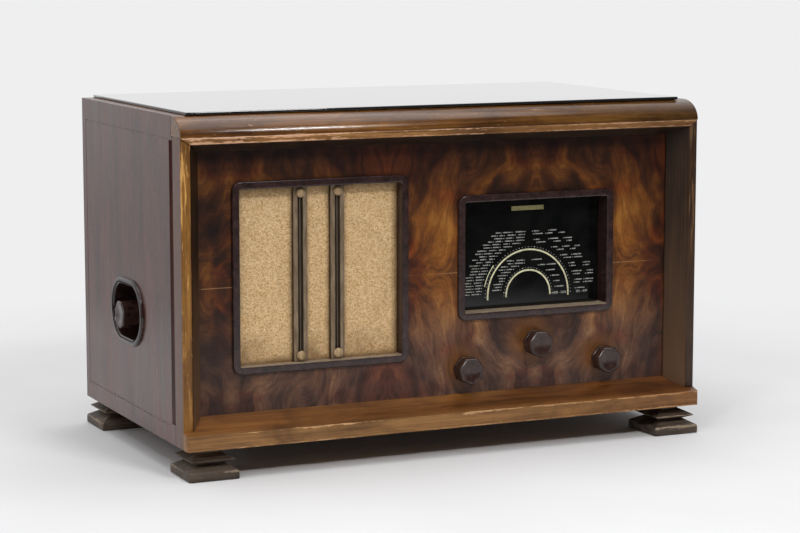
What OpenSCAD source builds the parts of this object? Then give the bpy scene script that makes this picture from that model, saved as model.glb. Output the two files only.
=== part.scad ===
// Table radio receiver in a wooden case. Millimetres, +Z up, front towards -Y.
// Pieces are placed from the case's datum corner: X from the outside of the left side,
// Y from the face of the front posts, Z from the underside of the case.

/* [Case] */
// Width of the case
case_w = 557; // [545:1:620]
// Depth of the case behind the face of the front posts
case_d = 301; // [296:1:350]
// Height of the case
case_h = 313; // [306:1:345]
// Thickness of the two sides and width of the front posts
side_t = 10; // [8:0.5:12]
// Thickness of the top and bottom boards
board_t = 12; // [9:0.5:14]
// Thickness of the figured front panel
panel_t = 10; // [8:0.5:12]
// Setback of the front panel behind the posts, which is also the posts' depth
panel_y = 22.5; // [20:0.5:26]
// Cross-section of the battens behind the front panel
front_batten = 12; // [8:1:14]
// Width of the battens that carry the rear cover
rear_batten_w = 15; // [12:1:18]
// Depth of the battens that carry the rear cover
rear_batten_d = 20; // [14:1:24]

/* [Front mouldings] */
// Width that the bevelled side strips take off the sunk front
splay_in = 14.2; // [10:0.1:18]
// Height that the bevelled top strip takes off the sunk front
splay_drop = 8.7; // [6:0.1:12]
// Thickness of the bevelled strips' inner edge
splay_edge = 2; // [1:0.5:4]
// Height of the lip strip under the roll
lip_h = 6.3; // [4:0.1:9]
// How far the lip strip stands in front of the posts
lip_out = 2; // [0.5:0.1:3]
// Height of the roll moulding
roll_h = 19.5; // [15:0.5:24]
// How far the roll stands in front of the posts
roll_out = 1; // [0:0.1:2]
// Depth at which the roll meets the top board
roll_back = 26; // [24:0.5:30]
// How far the sill stands in front of the posts
sill_out = 10.8; // [8:0.1:11.5]
// Height of the sill's front edge
sill_front_h = 14.2; // [10:0.1:18]
// Height of the sill where it meets the front panel
sill_back_h = 26.8; // [22:0.1:32]
// Radius of the sill's hollow upper face
cove_r = 130; // [90:5:200]
// Rounding of the sill's front corners
sill_round = 3; // [1:0.5:5]
// Height of the quirk line on the sill's front
quirk_z = 2.7; // [2:0.1:5]
// Rounding of the posts' front arrises
post_round = 1.5; // [0.5:0.1:3]

/* [Sides] */
// Width of the hollow groove behind each post
groove_w = 9; // [6:0.5:12]
// Depth of the hollow groove behind each post
groove_d = 3.5; // [2:0.1:4]
// Distance of the groove from the case's underside
groove_low = 20; // [15:1:40]
// Distance of the groove from the case's top
groove_high = 23; // [22:1:40]
// Width and depth of the veneer joint lines on the sides
line_w = 0.6; // [0.4:0.1:1]

/* [Top plate] */
// Thickness of the black top plate
plate_t = 3; // [2:0.5:5]
// Setback of the top plate from the case's sides
plate_in = 12.4; // [8:0.1:20]
// Setback of the top plate from the face of the posts
plate_front = 18.7; // [16:0.1:24]

/* [Feet] */
// Height of the feet
foot_h = 29; // [26:0.5:34]
// Width of a foot
foot_w = 50.5; // [46:0.5:60]
// Length of a foot from front to back
foot_len = 55.2; // [50:0.1:64]
// Setback of the feet from the case's sides
foot_in = 1; // [0:0.5:6]
// How far the front feet stand in front of the posts
foot_front = 11.8; // [11.6:0.1:16]
// How far the rear feet stand behind the case
foot_rear = 6; // [0:0.5:10]
// Height of a foot's bottom slab
slab_h = 8; // [6:0.5:10]
// Height of the sharp edge of a foot's collar
collar_z = 18.5; // [17:0.5:20]
// Depth of the hollow under the collar
hollow_in = 12; // [8:0.5:16]
// Setback of the collar's sharp edge
collar_in = 2.5; // [0:0.5:6]
// Setback of the foot's neck
neck_in = 15; // [10:0.5:18]

/* [Moulded surrounds] */
// Width of the moulded surrounds' face
band_w = 7.4; // [6:0.1:9]
// How far the surrounds stand in front of the panel
band_out = 3.5; // [2:0.1:5]
// Outer corner radius of the surrounds
band_r = 9; // [7.8:0.1:12]
// Easing of the surrounds' edges
band_ease = 0.9; // [0.4:0.1:1.2]
// Wall of the surrounds' sleeves
sleeve_t = 1.6; // [1.2:0.1:2]

/* [Loudspeaker opening] */
// Distance of the opening's centre from the middle of the case, to the left
grille_x = 128.7; // [123:0.1:138]
// Distance of the opening's centre below the middle of the case's height
grille_z = 0.3; // [-5:0.1:6]
// Width of the opening
grille_w = 169; // [160:0.5:176]
// Height of the opening
grille_h = 170.4; // [162:0.1:178]
// Thickness of the cloth
cloth_t = 0.9; // [0.5:0.1:1.5]
// Distance between the two bars
bar_pitch = 38.8; // [34:0.1:46]
// Width of a bar
bar_w = 14.3; // [12:0.1:16]
// Thickness of a bar
bar_t = 4.3; // [3.5:0.1:4.5]
// Width of the slot in a bar
slot_w = 5.5; // [4:0.1:7]
// Depth of the slot in a bar
slot_d = 3; // [2:0.1:3.2]
// Radius of a stud's head
stud_r = 4.75; // [4:0.05:5.5]
// Height of a stud's head
stud_h = 3; // [2:0.1:3.5]
// Distance of the studs from the ends of the bars
stud_in = 5.8; // [5.6:0.1:6.2]
// Radius of a stud's shank
shank_r = 2; // [1.5:0.1:2.4]

/* [Loudspeaker] */
// Side of the square baffle board
baffle_w = 198; // [194:1:204]
// Thickness of the baffle board
baffle_t = 6; // [5:0.5:8]
// Radius of the sound hole in the baffle board
sound_r = 68.5; // [66:0.5:69]
// Outer radius of the loudspeaker's frame
basket_r = 82; // [81.5:0.5:84]
// Depth of the loudspeaker's frame
basket_d = 46; // [42:0.5:54]
// Radius of the loudspeaker's magnet
magnet_r = 30; // [26:0.5:33]
// Length of the loudspeaker's magnet
magnet_len = 38; // [30:0.5:42]

/* [Dial] */
// Centre of the dial and the tuning parts from the right side
dial_from_right = 173.3; // [172:0.1:176]
// Centre of the dial opening above the case's underside
dial_z = 162.6; // [160:0.1:168]
// Width of the dial opening
dial_w = 160.2; // [156:0.1:164]
// Height of the dial opening
dial_h = 110.4; // [106:0.1:112]
// Depth of the dial glass behind the posts' face
glass_y = 38.4; // [38:0.1:39]
// Thickness of the dial glass
glass_t = 3; // [2:0.1:3.2]
// How far the glass is larger than the opening on each side
glass_lap = 3; // [2.4:0.1:4]
// Thickness of the sheet metal
sheet_t = 1.2; // [0.8:0.1:1.4]
// Depth of the lamp housing behind the front panel
housing_d = 18.7; // [17.6:0.1:18.8]
// Length of the pointer
pointer_len = 62; // [50:1:66]

/* [Knobs] */
// Number of sides of a knob
knob_sides = 7; // [7]
// Radius of a knob over its corners
knob_r = 13.5; // [11:0.1:15]
// Length of a front knob
knob_len = 15; // [12:0.5:18]
// Bevel round a knob's face
knob_bevel = 1.2; // [0.6:0.1:1.6]
// Height of the volume and tone knobs
low_knob_z = 50.9; // [49:0.1:54]
// Height of the tuning knob
tuning_z = 72.6; // [70:0.1:74]
// Distance of the volume and tone knobs from the tuning knob
knob_spread = 78.3; // [72:0.1:84]
// Radius of every control shaft
shaft_r = 3; // [2.8:0.1:3.2]

/* [Side control] */
// Centre of the oblong cup behind the posts' face
cup_y = 159; // [150:1:165]
// Centre of the oblong cup above the case's underside
cup_z = 110; // [109:0.5:112]
// Length of the cup's opening
cup_len = 82; // [78:1:90]
// Height of the cup's opening
cup_h = 52; // [48:1:56]
// Depth of the cup's floor from the outside of the side
cup_d = 24; // [20:0.5:28]
// Width of the cup's rim
rim_w = 7; // [5:0.5:9]
// How far the cup's rim stands out from the side
rim_out = 3; // [2:0.1:4]
// Range shaft behind the posts' face
range_y = 162; // [160:0.5:164]
// Range shaft above the case's underside
range_z = 107; // [106.8:0.1:110]
// How far the range knob stands out from the side
range_knob_out = 9; // [5:0.5:12]
// Clearance between the range knob and the cup's floor
range_knob_gap = 0.5; // [0.3:0.1:1]

/* [Tuning drive] */
// Height of the tuning condenser's shaft
gang_z = 119.2; // [118.6:0.1:121]
// Radius of the drive drum at the bottom of its groove
drum_r = 27.5; // [25:0.1:28]
// Thickness of the drive cord
cord_t = 1; // [0.8:0.1:1.2]
// Front of the drive drum behind the posts' face
drum_y = 53.2; // [53:0.1:53.4]
// Width of the drive drum
drum_w = 6; // [4:0.1:6.2]
// Front of the tuning condenser behind the posts' face
gang_y = 66; // [64:0.5:70]
// Length of the tuning condenser
gang_len = 86; // [80:1:96]
// Width of the tuning condenser
gang_w = 60; // [58:1:64]
// Radius of the moving plates
rotor_r = 21; // [18:0.1:21.4]
// Distance between two moving plates
plate_pitch = 2.6; // [2.4:0.1:2.8]
// Thickness of the condenser's plates
vane_t = 0.6; // [0.4:0.1:0.8]
// Number of moving plates in a section
plate_count = 8; // [6:1:8]

/* [Chassis] */
// Chassis from the right side of the case to its right apron
chassis_from_right = 21; // [16:0.5:24]
// Width of the chassis
chassis_w = 274; // [270:1:280]
// Front apron behind the posts' face
chassis_y = 62; // [61.8:0.1:62.4]
// Depth of the chassis
chassis_d = 200; // [196:1:206]
// Height of the chassis deck above the case's underside
deck_z = 88; // [87:0.5:89]
// Width of the flanges that stand on the bottom board
flange_w = 14; // [13:0.5:18]
// Radius of a valve socket
socket_r = 19; // [18:0.1:20]
// Radius of a valve's base
base_r = 16; // [14:0.1:17]
// Height of a valve's base
base_h = 30; // [24:0.5:34]
// Largest radius of a valve's bulb
bulb_r = 20; // [18:0.1:21]
// Side of a coil can
can_w = 34; // [30:0.5:36]
// Height of a coil can
can_h = 75; // [60:1:90]
// Radius of the smoothing condenser
smooth_r = 16; // [13:0.5:17]
// Height of the smoothing condenser
smooth_h = 90; // [70:1:110]

/* [Rear cover] */
// Thickness of the rear cover
cover_t = 4; // [3:0.5:5]
// Setback of the rear cover's inner face from the back of the case
cover_in = 11; // [8:0.5:14]
// Height of the socket window's lower edge
window_z = 25; // [20:1:28]
// Height of the socket window
window_h = 50; // [46:1:56]
// Length of a vent slot
vent_len = 44; // [30:1:50]
// Height of a vent slot
vent_h = 4; // [3:0.5:5]

/* [Fits] */
// Clearance on each side of fixed pieces
fit = 0.2; // [0.1:0.05:0.3]
// Running clearance round a shaft
run = 0.05; // [0.03:0.01:0.08]
// Gap between a turning piece and a fixed one
turn_gap = 0.5; // [0.4:0.1:0.7]

/* [Hidden] */
$fn = 48;
eps = 0.01;
right_x = case_w - side_t;
opening_x = case_w / 2 - grille_x;
opening_z = case_h / 2 - grille_z;
dial_x = case_w - dial_from_right;
volume_x = dial_x - knob_spread;
tone_x = dial_x + knob_spread;
mid_x = (case_w - range_knob_out) / 2;
mid_y = (case_d + foot_rear - foot_front) / 2;
lip_top = case_h - roll_h;
lip_z = lip_top - lip_h;
panel_back = panel_y + panel_t;
baffle_back = panel_back + baffle_t;
cover_y = case_d - cover_in;
chassis_x1 = case_w - chassis_from_right;
chassis_x0 = chassis_x1 - chassis_w;
chassis_y1 = chassis_y + chassis_d;
under_deck = deck_z - sheet_t;
bore_r = shaft_r + run;
knob_back = panel_y - turn_gap;
shaft_hole_gap = 2.5;
shaft_hole_r = shaft_r + shaft_hole_gap;
screw_r = 1.7;
screw_head_r = 3.4;
screw_grip = 7;
gasket_t = 0.8;
sleeve_gap = 0.3;
cloth_y = panel_back - cloth_t;
bar_back = cloth_y - sleeve_gap;
bar_y = bar_back - bar_t;
magnet_y = baffle_back + gasket_t + basket_d;
frame_flange = 8;
housing_y = panel_back + housing_d;
glass_w = dial_w + 2 * glass_lap;
glass_h = dial_h + 2 * glass_lap;
tray_w = glass_w + 2 * fit + 2 * sheet_t;
tray_h = glass_h + 2 * fit + 2 * sheet_t;
groove_w_drum = cord_t + 0.6;
cord_y = drum_y + drum_w / 2 - cord_t / 2;
drive_r = shaft_r;
hub_y = housing_y + sheet_t;
gang_back = gang_y + gang_len;
plate_end_t = 2;
section_len = (gang_len - plate_end_t) / 3;
range_x = chassis_x0 + 4;

// Datum corner of the case to the middle of the whole object's foot print
module placed() {
    translate([-mid_x, -mid_y, foot_h]) children();
}

// A box from one corner to the opposite one
module block(low, high) {
    translate(low) cube(high - low);
}

// An outline in Y and Z, drawn out along X
module along_x(x0, x1) {
    translate([x0, 0, 0]) rotate([90, 0, 90]) linear_extrude(x1 - x0) children();
}

// An outline in X and Z, drawn out along Y
module along_y(y0, y1) {
    translate([0, y1, 0]) rotate([90, 0, 0]) linear_extrude(y1 - y0) children();
}

// Round bars along each axis
module bar_x(r, x0, x1, y, z, sides = $fn) {
    translate([x0, y, z]) rotate([0, 90, 0]) cylinder(r = r, h = x1 - x0, $fn = sides);
}
module bar_y(r, y0, y1, x, z, sides = $fn) {
    translate([x, y0, z]) rotate([-90, 0, 0]) cylinder(r = r, h = y1 - y0, $fn = sides);
}
module bar_z(r, z0, z1, x, y, sides = $fn) {
    translate([x, y, z0]) cylinder(r = r, h = z1 - z0, $fn = sides);
}

// A profile of radius and Y, turned round an axis along Y
module turned_y(x, z) {
    translate([x, 0, z]) rotate([-90, 0, 0]) rotate_extrude() children();
}

// A rectangle with round corners, about its centre
module round_rect(w, h, r) {
    square([w - 2 * r, h], center = true);
    square([w, h - 2 * r], center = true);
    for (x = [-1, 1], y = [-1, 1])
        translate([x * (w / 2 - r), y * (h / 2 - r)]) circle(r);
}

// An oblong with round ends, lying along its first axis
module oblong(len, h) {
    square([len - h, h], center = true);
    for (x = [-1, 1])
        translate([x * (len - h) / 2, 0]) circle(h / 2);
}

// What is drawn for the left side, seen in a mirror at the middle of the case
module other_side() {
    translate([case_w, 0, 0]) mirror([1, 0, 0]) children();
}

// Case

groove_r = (groove_w * groove_w / 4 + groove_d * groove_d) / (2 * groove_d);
groove_land = 0.6;
joint_gap = 2;
joint_y = [panel_y + groove_land + groove_w + joint_gap, case_d - board_t];
joint_z = [groove_low - joint_gap, lip_top - joint_gap];

// One side with its groove and the three joint lines of its edge banding
module side_board() {
    difference() {
        block([0, panel_y, 0], [side_t, case_d, case_h]);
        block([-1, panel_y - 1, lip_top], [side_t + 1, roll_back, case_h + 1]);
        bar_z(groove_r, groove_low, case_h - groove_high, groove_d - groove_r,
            panel_y + groove_land + groove_w / 2);
        for (z = joint_z)
            block([-1, joint_y[0], z - line_w], [line_w, joint_y[1], z]);
        block([-1, joint_y[1] - line_w, joint_z[0]], [line_w, joint_y[1], joint_z[1] - line_w]);
    }
}

module side_left() {
    color("#6e5f5a") placed() difference() {
        side_board();
        along_x(-eps, side_t + eps) translate([cup_y, cup_z])
            oblong(cup_len + 2 * sleeve_t + 2 * fit, cup_h + 2 * sleeve_t + 2 * fit);
    }
}

module side_right() {
    color("#6e5f5a") placed() other_side() side_board();
}

// A post, with its top mitred to the lip strip and its front arrises eased
module post() {
    intersection() {
        along_y(0, panel_y)
            polygon([[0, 0], [side_t, 0], [side_t, lip_z], [0, lip_top]]);
        linear_extrude(case_h) union() {
            translate([0, post_round]) square([side_t, panel_y - post_round]);
            translate([post_round, 0]) square([side_t - 2 * post_round, panel_y]);
            for (x = [post_round, side_t - post_round])
                translate([x, post_round]) circle(post_round);
        }
    }
}

module post_left() {
    color("#8a6030") placed() post();
}

module post_right() {
    color("#8a6030") placed() other_side() post();
}

module top_board() {
    color("#6b4a2c") placed()
        block([side_t, roll_back, case_h - board_t], [right_x, case_d, case_h]);
}

bolt_r = 2.5;
bolt_row = 25;
bolt_head_h = 4;
bolt_sunk = 1;
bolt_xs = [chassis_x0 + flange_w / 2 + sheet_t, chassis_x1 - flange_w / 2 - sheet_t];
bolt_ys = [chassis_y + bolt_row, chassis_y1 - bolt_row];

module bottom_board() {
    color("#6b4a2c") placed() difference() {
        block([side_t, panel_y, 0], [right_x, case_d, board_t]);
        for (x = bolt_xs, y = bolt_ys) {
            bar_z(bolt_r + fit, -eps, board_t + eps, x, y);
            bar_z(3 * bolt_r, -eps, bolt_head_h, x, y);
        }
        for (p = output_screws)
            bar_z(screw_r + fit / 2, board_t - screw_grip, board_t + eps, p[0], p[1]);
    }
}

rear_screw_in = 60;
rear_screw_zs = [rear_screw_in, case_h / 2, case_h - rear_screw_in];
rear_screw_xs = [side_t + rear_batten_w / 2, right_x - rear_batten_w / 2];

module case_battens() {
    color("#9a7a50") placed() difference() {
        union() {
            for (x = [side_t, right_x - rear_batten_w])
                block([x, cover_y - rear_batten_d, board_t],
                    [x + rear_batten_w, cover_y, case_h - board_t]);
            block([side_t + rear_batten_w, cover_y - rear_batten_d,
                case_h - board_t - rear_batten_w],
                [right_x - rear_batten_w, cover_y, case_h - board_t]);
            for (x = [side_t, right_x - front_batten])
                block([x, panel_back, board_t],
                    [x + front_batten, panel_back + front_batten, case_h - board_t]);
            block([side_t + front_batten, panel_back, case_h - board_t - front_batten],
                [right_x - front_batten, panel_back + front_batten, case_h - board_t]);
        }
        for (x = rear_screw_xs, z = rear_screw_zs)
            bar_y(screw_r + fit / 2, cover_y - screw_grip, cover_y + eps, x, z);
    }
}

baffle_inset = 6;
baffle_screws = [for (x = [-1, 1], z = [-1, 0, 1])
    [opening_x + x * (baffle_w / 2 - baffle_inset),
     opening_z + z * (baffle_w / 2 - baffle_inset)]];
housing_screws = [for (x = [-1, 1], z = [-1, 1])
    [dial_x + x * (tray_w + frame_flange) / 2, dial_z + z * (tray_h + frame_flange) / 2]];

module front_panel() {
    color("#7a4a1c") placed() difference() {
        block([side_t, panel_y, board_t], [right_x, panel_back, lip_top]);
        along_y(panel_y - eps, panel_back + eps) {
            translate([opening_x, opening_z]) round_rect(grille_w + 2 * (sleeve_t + fit),
                grille_h + 2 * (sleeve_t + fit), band_r - band_w + sleeve_t + fit);
            translate([dial_x, dial_z]) round_rect(dial_w + 2 * (sleeve_t + fit),
                dial_h + 2 * (sleeve_t + fit), band_r - band_w + sleeve_t + fit);
        }
        for (p = [[volume_x, low_knob_z], [dial_x, tuning_z], [tone_x, low_knob_z]])
            bar_y(shaft_hole_r, panel_y - eps, panel_back + eps, p[0], p[1]);
        for (p = concat(baffle_screws, housing_screws))
            bar_y(screw_r + fit / 2, panel_back - screw_grip, panel_back + eps, p[0], p[1]);
    }
}

roll_steps = 18;
roll_curve = [for (i = [0 : roll_steps]) let (a = 90 * i / roll_steps)
    [roll_back - (roll_back + roll_out) * sin(a), lip_top + roll_h * cos(a)]];

module top_roll() {
    color("#7a5326") placed() along_x(0, case_w)
        polygon(concat([[roll_back, lip_top]], roll_curve));
}

module lip_strip() {
    color("#6b4a22") placed() along_y(-lip_out, panel_y)
        polygon([[0, lip_top], [side_t, lip_z], [right_x, lip_z], [case_w, lip_top]]);
}

module top_splay_solid() {
    along_x(side_t, right_x) polygon([[0, lip_z], [panel_y - splay_edge, lip_z - splay_drop],
        [panel_y, lip_z - splay_drop], [panel_y, lip_z]]);
}

// The sill's outline: a square front and a hollow upper face up to the front panel
module sill_outline() {
    chord = [panel_y + sill_out, sill_back_h - sill_front_h];
    half = norm(chord) / 2;
    rise = sqrt(cove_r * cove_r - half * half) / norm(chord);
    centre = [-sill_out, sill_front_h] + chord / 2 + rise * [-chord[1], chord[0]];
    difference() {
        polygon([[-sill_out, 0], [panel_y, 0], [panel_y, sill_back_h],
            [-sill_out, sill_front_h]]);
        translate(centre) circle(cove_r, $fn = 180);
        translate([-sill_out, quirk_z]) rotate(45) square(line_w, center = true);
    }
}

module sill_solid() {
    difference() {
        along_x(0, case_w) sill_outline();
        for (x = [-eps, right_x])
            block([x, 0, -eps], [x + side_t + eps, panel_y + eps, sill_back_h + eps]);
        for (x = [0, case_w])
            translate([x, -sill_out, -eps]) difference() {
                translate([-sill_round, -sill_round, 0])
                    cube([2 * sill_round, 2 * sill_round, sill_back_h]);
                translate([x == 0 ? sill_round : -sill_round, sill_round, -eps])
                    cylinder(r = sill_round, h = sill_back_h + 1);
            }
    }
}

module sill() {
    color("#8a6030") placed() sill_solid();
}

module side_splay() {
    difference() {
        linear_extrude(lip_z) polygon([[side_t, 0],
            [side_t + splay_in, panel_y - splay_edge],
            [side_t + splay_in, panel_y], [side_t, panel_y]]);
        along_x(0, case_w / 2) sill_outline();
        top_splay_solid();
    }
}

module splay_left() {
    color("#3a2a1e") placed() side_splay();
}

module splay_right() {
    color("#3a2a1e") placed() other_side() side_splay();
}

module splay_top() {
    color("#3a2a1e") placed() top_splay_solid();
}

module top_plate() {
    color("#101010") placed()
        block([plate_in, plate_front, case_h], [case_w - plate_in, case_d, case_h + plate_t]);
}

// Half outline of a foot: inset from its edge, and height above the floor
neck_h = 4.4;
hollow_z = collar_z - 4;
foot_steps = [[0, 0], [0, slab_h], [hollow_in, hollow_z], [collar_in, collar_z],
    [neck_in, foot_h - neck_h], [neck_in, foot_h]];

module foot_outline(w) {
    count = len(foot_steps) - 1;
    polygon(concat([for (i = [0 : count]) [foot_steps[i][0], foot_steps[i][1] - foot_h]],
        [for (i = [count : -1 : 0]) [w - foot_steps[i][0], foot_steps[i][1] - foot_h]]));
}

module foot() {
    intersection() {
        along_x(0, foot_w) foot_outline(foot_len);
        along_y(0, foot_len) foot_outline(foot_w);
    }
}

module feet() {
    color("#3c332c") placed()
        for (x = [foot_in, case_w - foot_in - foot_w],
             y = [-foot_front, case_d + foot_rear - foot_len])
            translate([x, y, 0]) foot();
}

// Rear cover, with a window over the chassis sockets and three columns of vents
vent_columns = [case_w * 0.3, case_w * 0.5, case_w * 0.7];
vent_rows = 7;
vent_step = 12;
vent_top = 50;
window_left = 14;
window_right = 10;

module rear_cover() {
    color("#7c6248") placed() difference() {
        block([side_t + fit, cover_y, board_t + fit],
            [right_x - fit, cover_y + cover_t, case_h - board_t - fit]);
        block([chassis_x0 + window_left, cover_y - eps, window_z],
            [chassis_x1 - window_right, cover_y + cover_t + eps, window_z + window_h]);
        for (x = vent_columns, i = [0 : vent_rows - 1])
            along_y(cover_y - eps, cover_y + cover_t + eps)
                translate([x, case_h - vent_top - i * vent_step]) oblong(vent_len, vent_h);
        for (x = rear_screw_xs, z = rear_screw_zs)
            bar_y(screw_r + fit / 2, cover_y - eps, cover_y + cover_t + eps, x, z);
    }
}

// A round-headed wood screw along Y, its head behind the face at y
module screw_y(x, z, y, len) {
    bar_y(screw_r, y - len, y, x, z);
    turned_y(x, z) intersection() {
        translate([0, y]) circle(screw_head_r);
        translate([0, y]) square([screw_head_r, screw_head_r * 0.7]);
    }
}

// A wood screw down through a foot that is t thick
module screw_z(x, y, z, len) {
    bar_z(screw_r, z - len, z, x, y);
    translate([x, y, z]) rotate_extrude() intersection() {
        circle(screw_head_r);
        square([screw_head_r, screw_head_r * 0.7]);
    }
}

rim_lap = 6;
cone_rim = sound_r + rim_lap;
basket_screw_r = (cone_rim + fit + basket_r) / 2;
basket_screws = [for (a = [45 : 90 : 315])
    [opening_x + basket_screw_r * cos(a), opening_z + basket_screw_r * sin(a)]];
basket_rim = 2.8;
baffle_skin = 0.8;

module wood_screws() {
    color("#8d8468") placed() {
        for (p = baffle_screws)
            screw_y(p[0], p[1], baffle_back, baffle_t + screw_grip - fit);
        for (p = housing_screws)
            screw_y(p[0], p[1], panel_back + sheet_t, sheet_t + screw_grip - fit);
        for (p = basket_screws)
            screw_y(p[0], p[1], baffle_back + basket_rim,
                basket_rim + baffle_t - baffle_skin - fit);
        for (x = rear_screw_xs, z = rear_screw_zs)
            screw_y(x, z, cover_y + cover_t, cover_t + screw_grip - fit);
        for (p = output_screws)
            screw_z(p[0], p[1], board_t + sheet_t, sheet_t + screw_grip - fit);
    }
}

// Loudspeaker opening

// A moulded surround: an eased face on the panel and a sleeve that goes back to sleeve_end
module surround(x, z, w, h, sleeve_end) {
    inner_r = band_r - band_w;
    translate([x, 0, z]) difference() {
        union() {
            along_y(panel_y - band_out + band_ease, panel_y)
                round_rect(w + 2 * band_w, h + 2 * band_w, band_r);
            along_y(panel_y - band_out, panel_y - band_out + band_ease)
                round_rect(w + 2 * (band_w - band_ease), h + 2 * (band_w - band_ease),
                    band_r - band_ease);
            along_y(panel_y, sleeve_end)
                round_rect(w + 2 * sleeve_t, h + 2 * sleeve_t, inner_r + sleeve_t);
        }
        along_y(panel_y - band_out - eps, sleeve_end + eps) round_rect(w, h, inner_r);
        along_y(panel_y - band_out - eps, panel_y - band_out + band_ease)
            round_rect(w + 2 * band_ease, h + 2 * band_ease, inner_r + band_ease);
    }
}

module grille_bezel() {
    color("#3a2c2e") placed() surround(opening_x, opening_z, grille_w, grille_h, cloth_y - sleeve_gap);
}

bar_xs = [opening_x - bar_pitch / 2, opening_x + bar_pitch / 2];
bar_low = opening_z - grille_h / 2 + fit;
bar_high = opening_z + grille_h / 2 - fit;
stud_zs = [bar_low + stud_in, bar_high - stud_in];

module shank_holes(y0, y1) {
    for (x = bar_xs, z = stud_zs)
        bar_y(shank_r + fit, y0, y1, x, z);
}

module grille_cloth() {
    color("#c8a878") placed() difference() {
        translate([opening_x, 0, opening_z]) along_y(cloth_y, panel_back)
            round_rect(grille_w + 2 * sleeve_t, grille_h + 2 * sleeve_t,
                band_r - band_w + sleeve_t);
        shank_holes(cloth_y - eps, panel_back + eps);
    }
}

// A bar: a channel with a thin rib along the bottom of its slot
rib_w = 1;
rib_h = 1.5;

module grille_bars() {
    color("#7a6650") placed() difference() {
        for (x = bar_xs) {
            difference() {
                block([x - bar_w / 2, bar_y, bar_low], [x + bar_w / 2, bar_back, bar_high]);
                block([x - slot_w / 2, bar_y - eps, stud_zs[0]],
                    [x + slot_w / 2, bar_y + slot_d, stud_zs[1]]);
            }
            block([x - rib_w / 2, bar_y + slot_d - rib_h, stud_zs[0]],
                [x + rib_w / 2, bar_y + slot_d, stud_zs[1]]);
        }
        shank_holes(bar_y - eps, bar_back + eps);
        for (x = bar_xs, z = stud_zs)
            bar_y(stud_r + fit, bar_y - eps, bar_y + slot_d, x, z);
    }
}

// A stud: a domed head that sits in the bar's slot end, and a shank through to the baffle board
module bar_studs() {
    dome_r = (stud_r * stud_r + stud_h * stud_h) / (2 * stud_h);
    color("#8a7450") placed()
        for (x = bar_xs, z = stud_zs) {
            turned_y(x, z) intersection() {
                translate([0, bar_y - stud_h + dome_r]) circle(dome_r);
                translate([0, bar_y - stud_h]) square([stud_r, stud_h]);
            }
            bar_y(stud_r, bar_y, bar_y + slot_d, x, z);
            bar_y(shank_r, bar_y + slot_d, baffle_back, x, z);
        }
}

module baffle_board() {
    color("#8f7048") placed() difference() {
        block([opening_x - baffle_w / 2, panel_back, opening_z - baffle_w / 2],
            [opening_x + baffle_w / 2, baffle_back, opening_z + baffle_w / 2]);
        bar_y(sound_r, panel_back - eps, baffle_back + eps, opening_x, opening_z);
        shank_holes(panel_back - eps, baffle_back + eps);
        for (p = baffle_screws)
            bar_y(screw_r + fit / 2, panel_back - eps, baffle_back + eps, p[0], p[1]);
        for (p = basket_screws)
            bar_y(screw_r + fit / 2, panel_back + baffle_skin, baffle_back + eps, p[0], p[1]);
    }
}

// Loudspeaker: pressed frame with six windows, paper cone, pot magnet
basket_t = 1.2;
basket_throat = magnet_r + 4;
coil_r = 10;
coil_gap = 0.6;
throat_r = coil_r + 2;
window_gap = 8;
window_w = 22;

module speaker_basket() {
    back = magnet_y;
    wall_r = cone_rim - 4;
    color("#4c4c4a") placed() difference() {
        turned_y(opening_x, opening_z) union() {
            polygon([[cone_rim + fit, baffle_back], [basket_r, baffle_back],
                [basket_r, baffle_back + basket_rim], [wall_r, baffle_back + basket_rim],
                [basket_throat, back], [basket_throat - basket_t, back - basket_t],
                [wall_r - basket_t, baffle_back + gasket_t],
                [cone_rim + fit, baffle_back + gasket_t]]);
            translate([throat_r, back - basket_t])
                square([basket_throat - throat_r, basket_t]);
        }
        for (a = [0 : 60 : 300])
            translate([opening_x, baffle_back + basket_rim + window_gap, opening_z])
                rotate([0, a, 0])
                    block([magnet_r + window_gap, 0, -window_w / 2],
                        [basket_r, basket_d - 2.5 * window_gap, window_w / 2]);
        for (p = basket_screws)
            bar_y(screw_r + fit / 2, baffle_back - eps, baffle_back + basket_rim + eps,
                p[0], p[1]);
    }
}

cone_t = 0.7;
cone_depth = basket_d - 14;
cap_t = 1;
magnet_chamfer = 6;

module speaker_cone() {
    edge = sound_r - rim_lap;
    color("#5a4a3a") placed() turned_y(opening_x, opening_z) {
        polygon([[edge, baffle_back], [cone_rim, baffle_back],
            [cone_rim, baffle_back + cone_t], [edge, baffle_back + cone_t],
            [coil_r + cone_t, baffle_back + cone_depth], [coil_r, baffle_back + cone_depth]]);
        translate([coil_r, baffle_back + cone_depth - eps])
            square([cone_t, magnet_y - baffle_back - cone_depth + coil_gap * 5]);
        translate([0, baffle_back + cone_depth - cap_t]) square([coil_r + eps, cap_t]);
    }
}

module speaker_magnet() {
    color("#5e6468") placed() difference() {
        union() {
            bar_y(magnet_r, magnet_y, magnet_y + magnet_len, opening_x, opening_z);
            bar_y(magnet_r - magnet_chamfer, magnet_y + magnet_len,
                magnet_y + magnet_len + magnet_chamfer / 2, opening_x, opening_z);
        }
        turned_y(opening_x, opening_z)
            translate([coil_r - coil_gap, magnet_y - eps])
                square([cone_t + 2 * coil_gap, 10 * coil_gap]);
    }
}

// Output transformer on the bottom board
output_from_side = 80;
output_from_back = 111;
output_w = 56;
output_d = 34;
output_h = 44;
output_foot = 13;
output_at = [side_t + output_from_side, case_d - output_from_back];
output_screws = [for (s = [-1, 1]) [output_at[0] + s * (output_w + output_foot) / 2, output_at[1]]];

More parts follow.
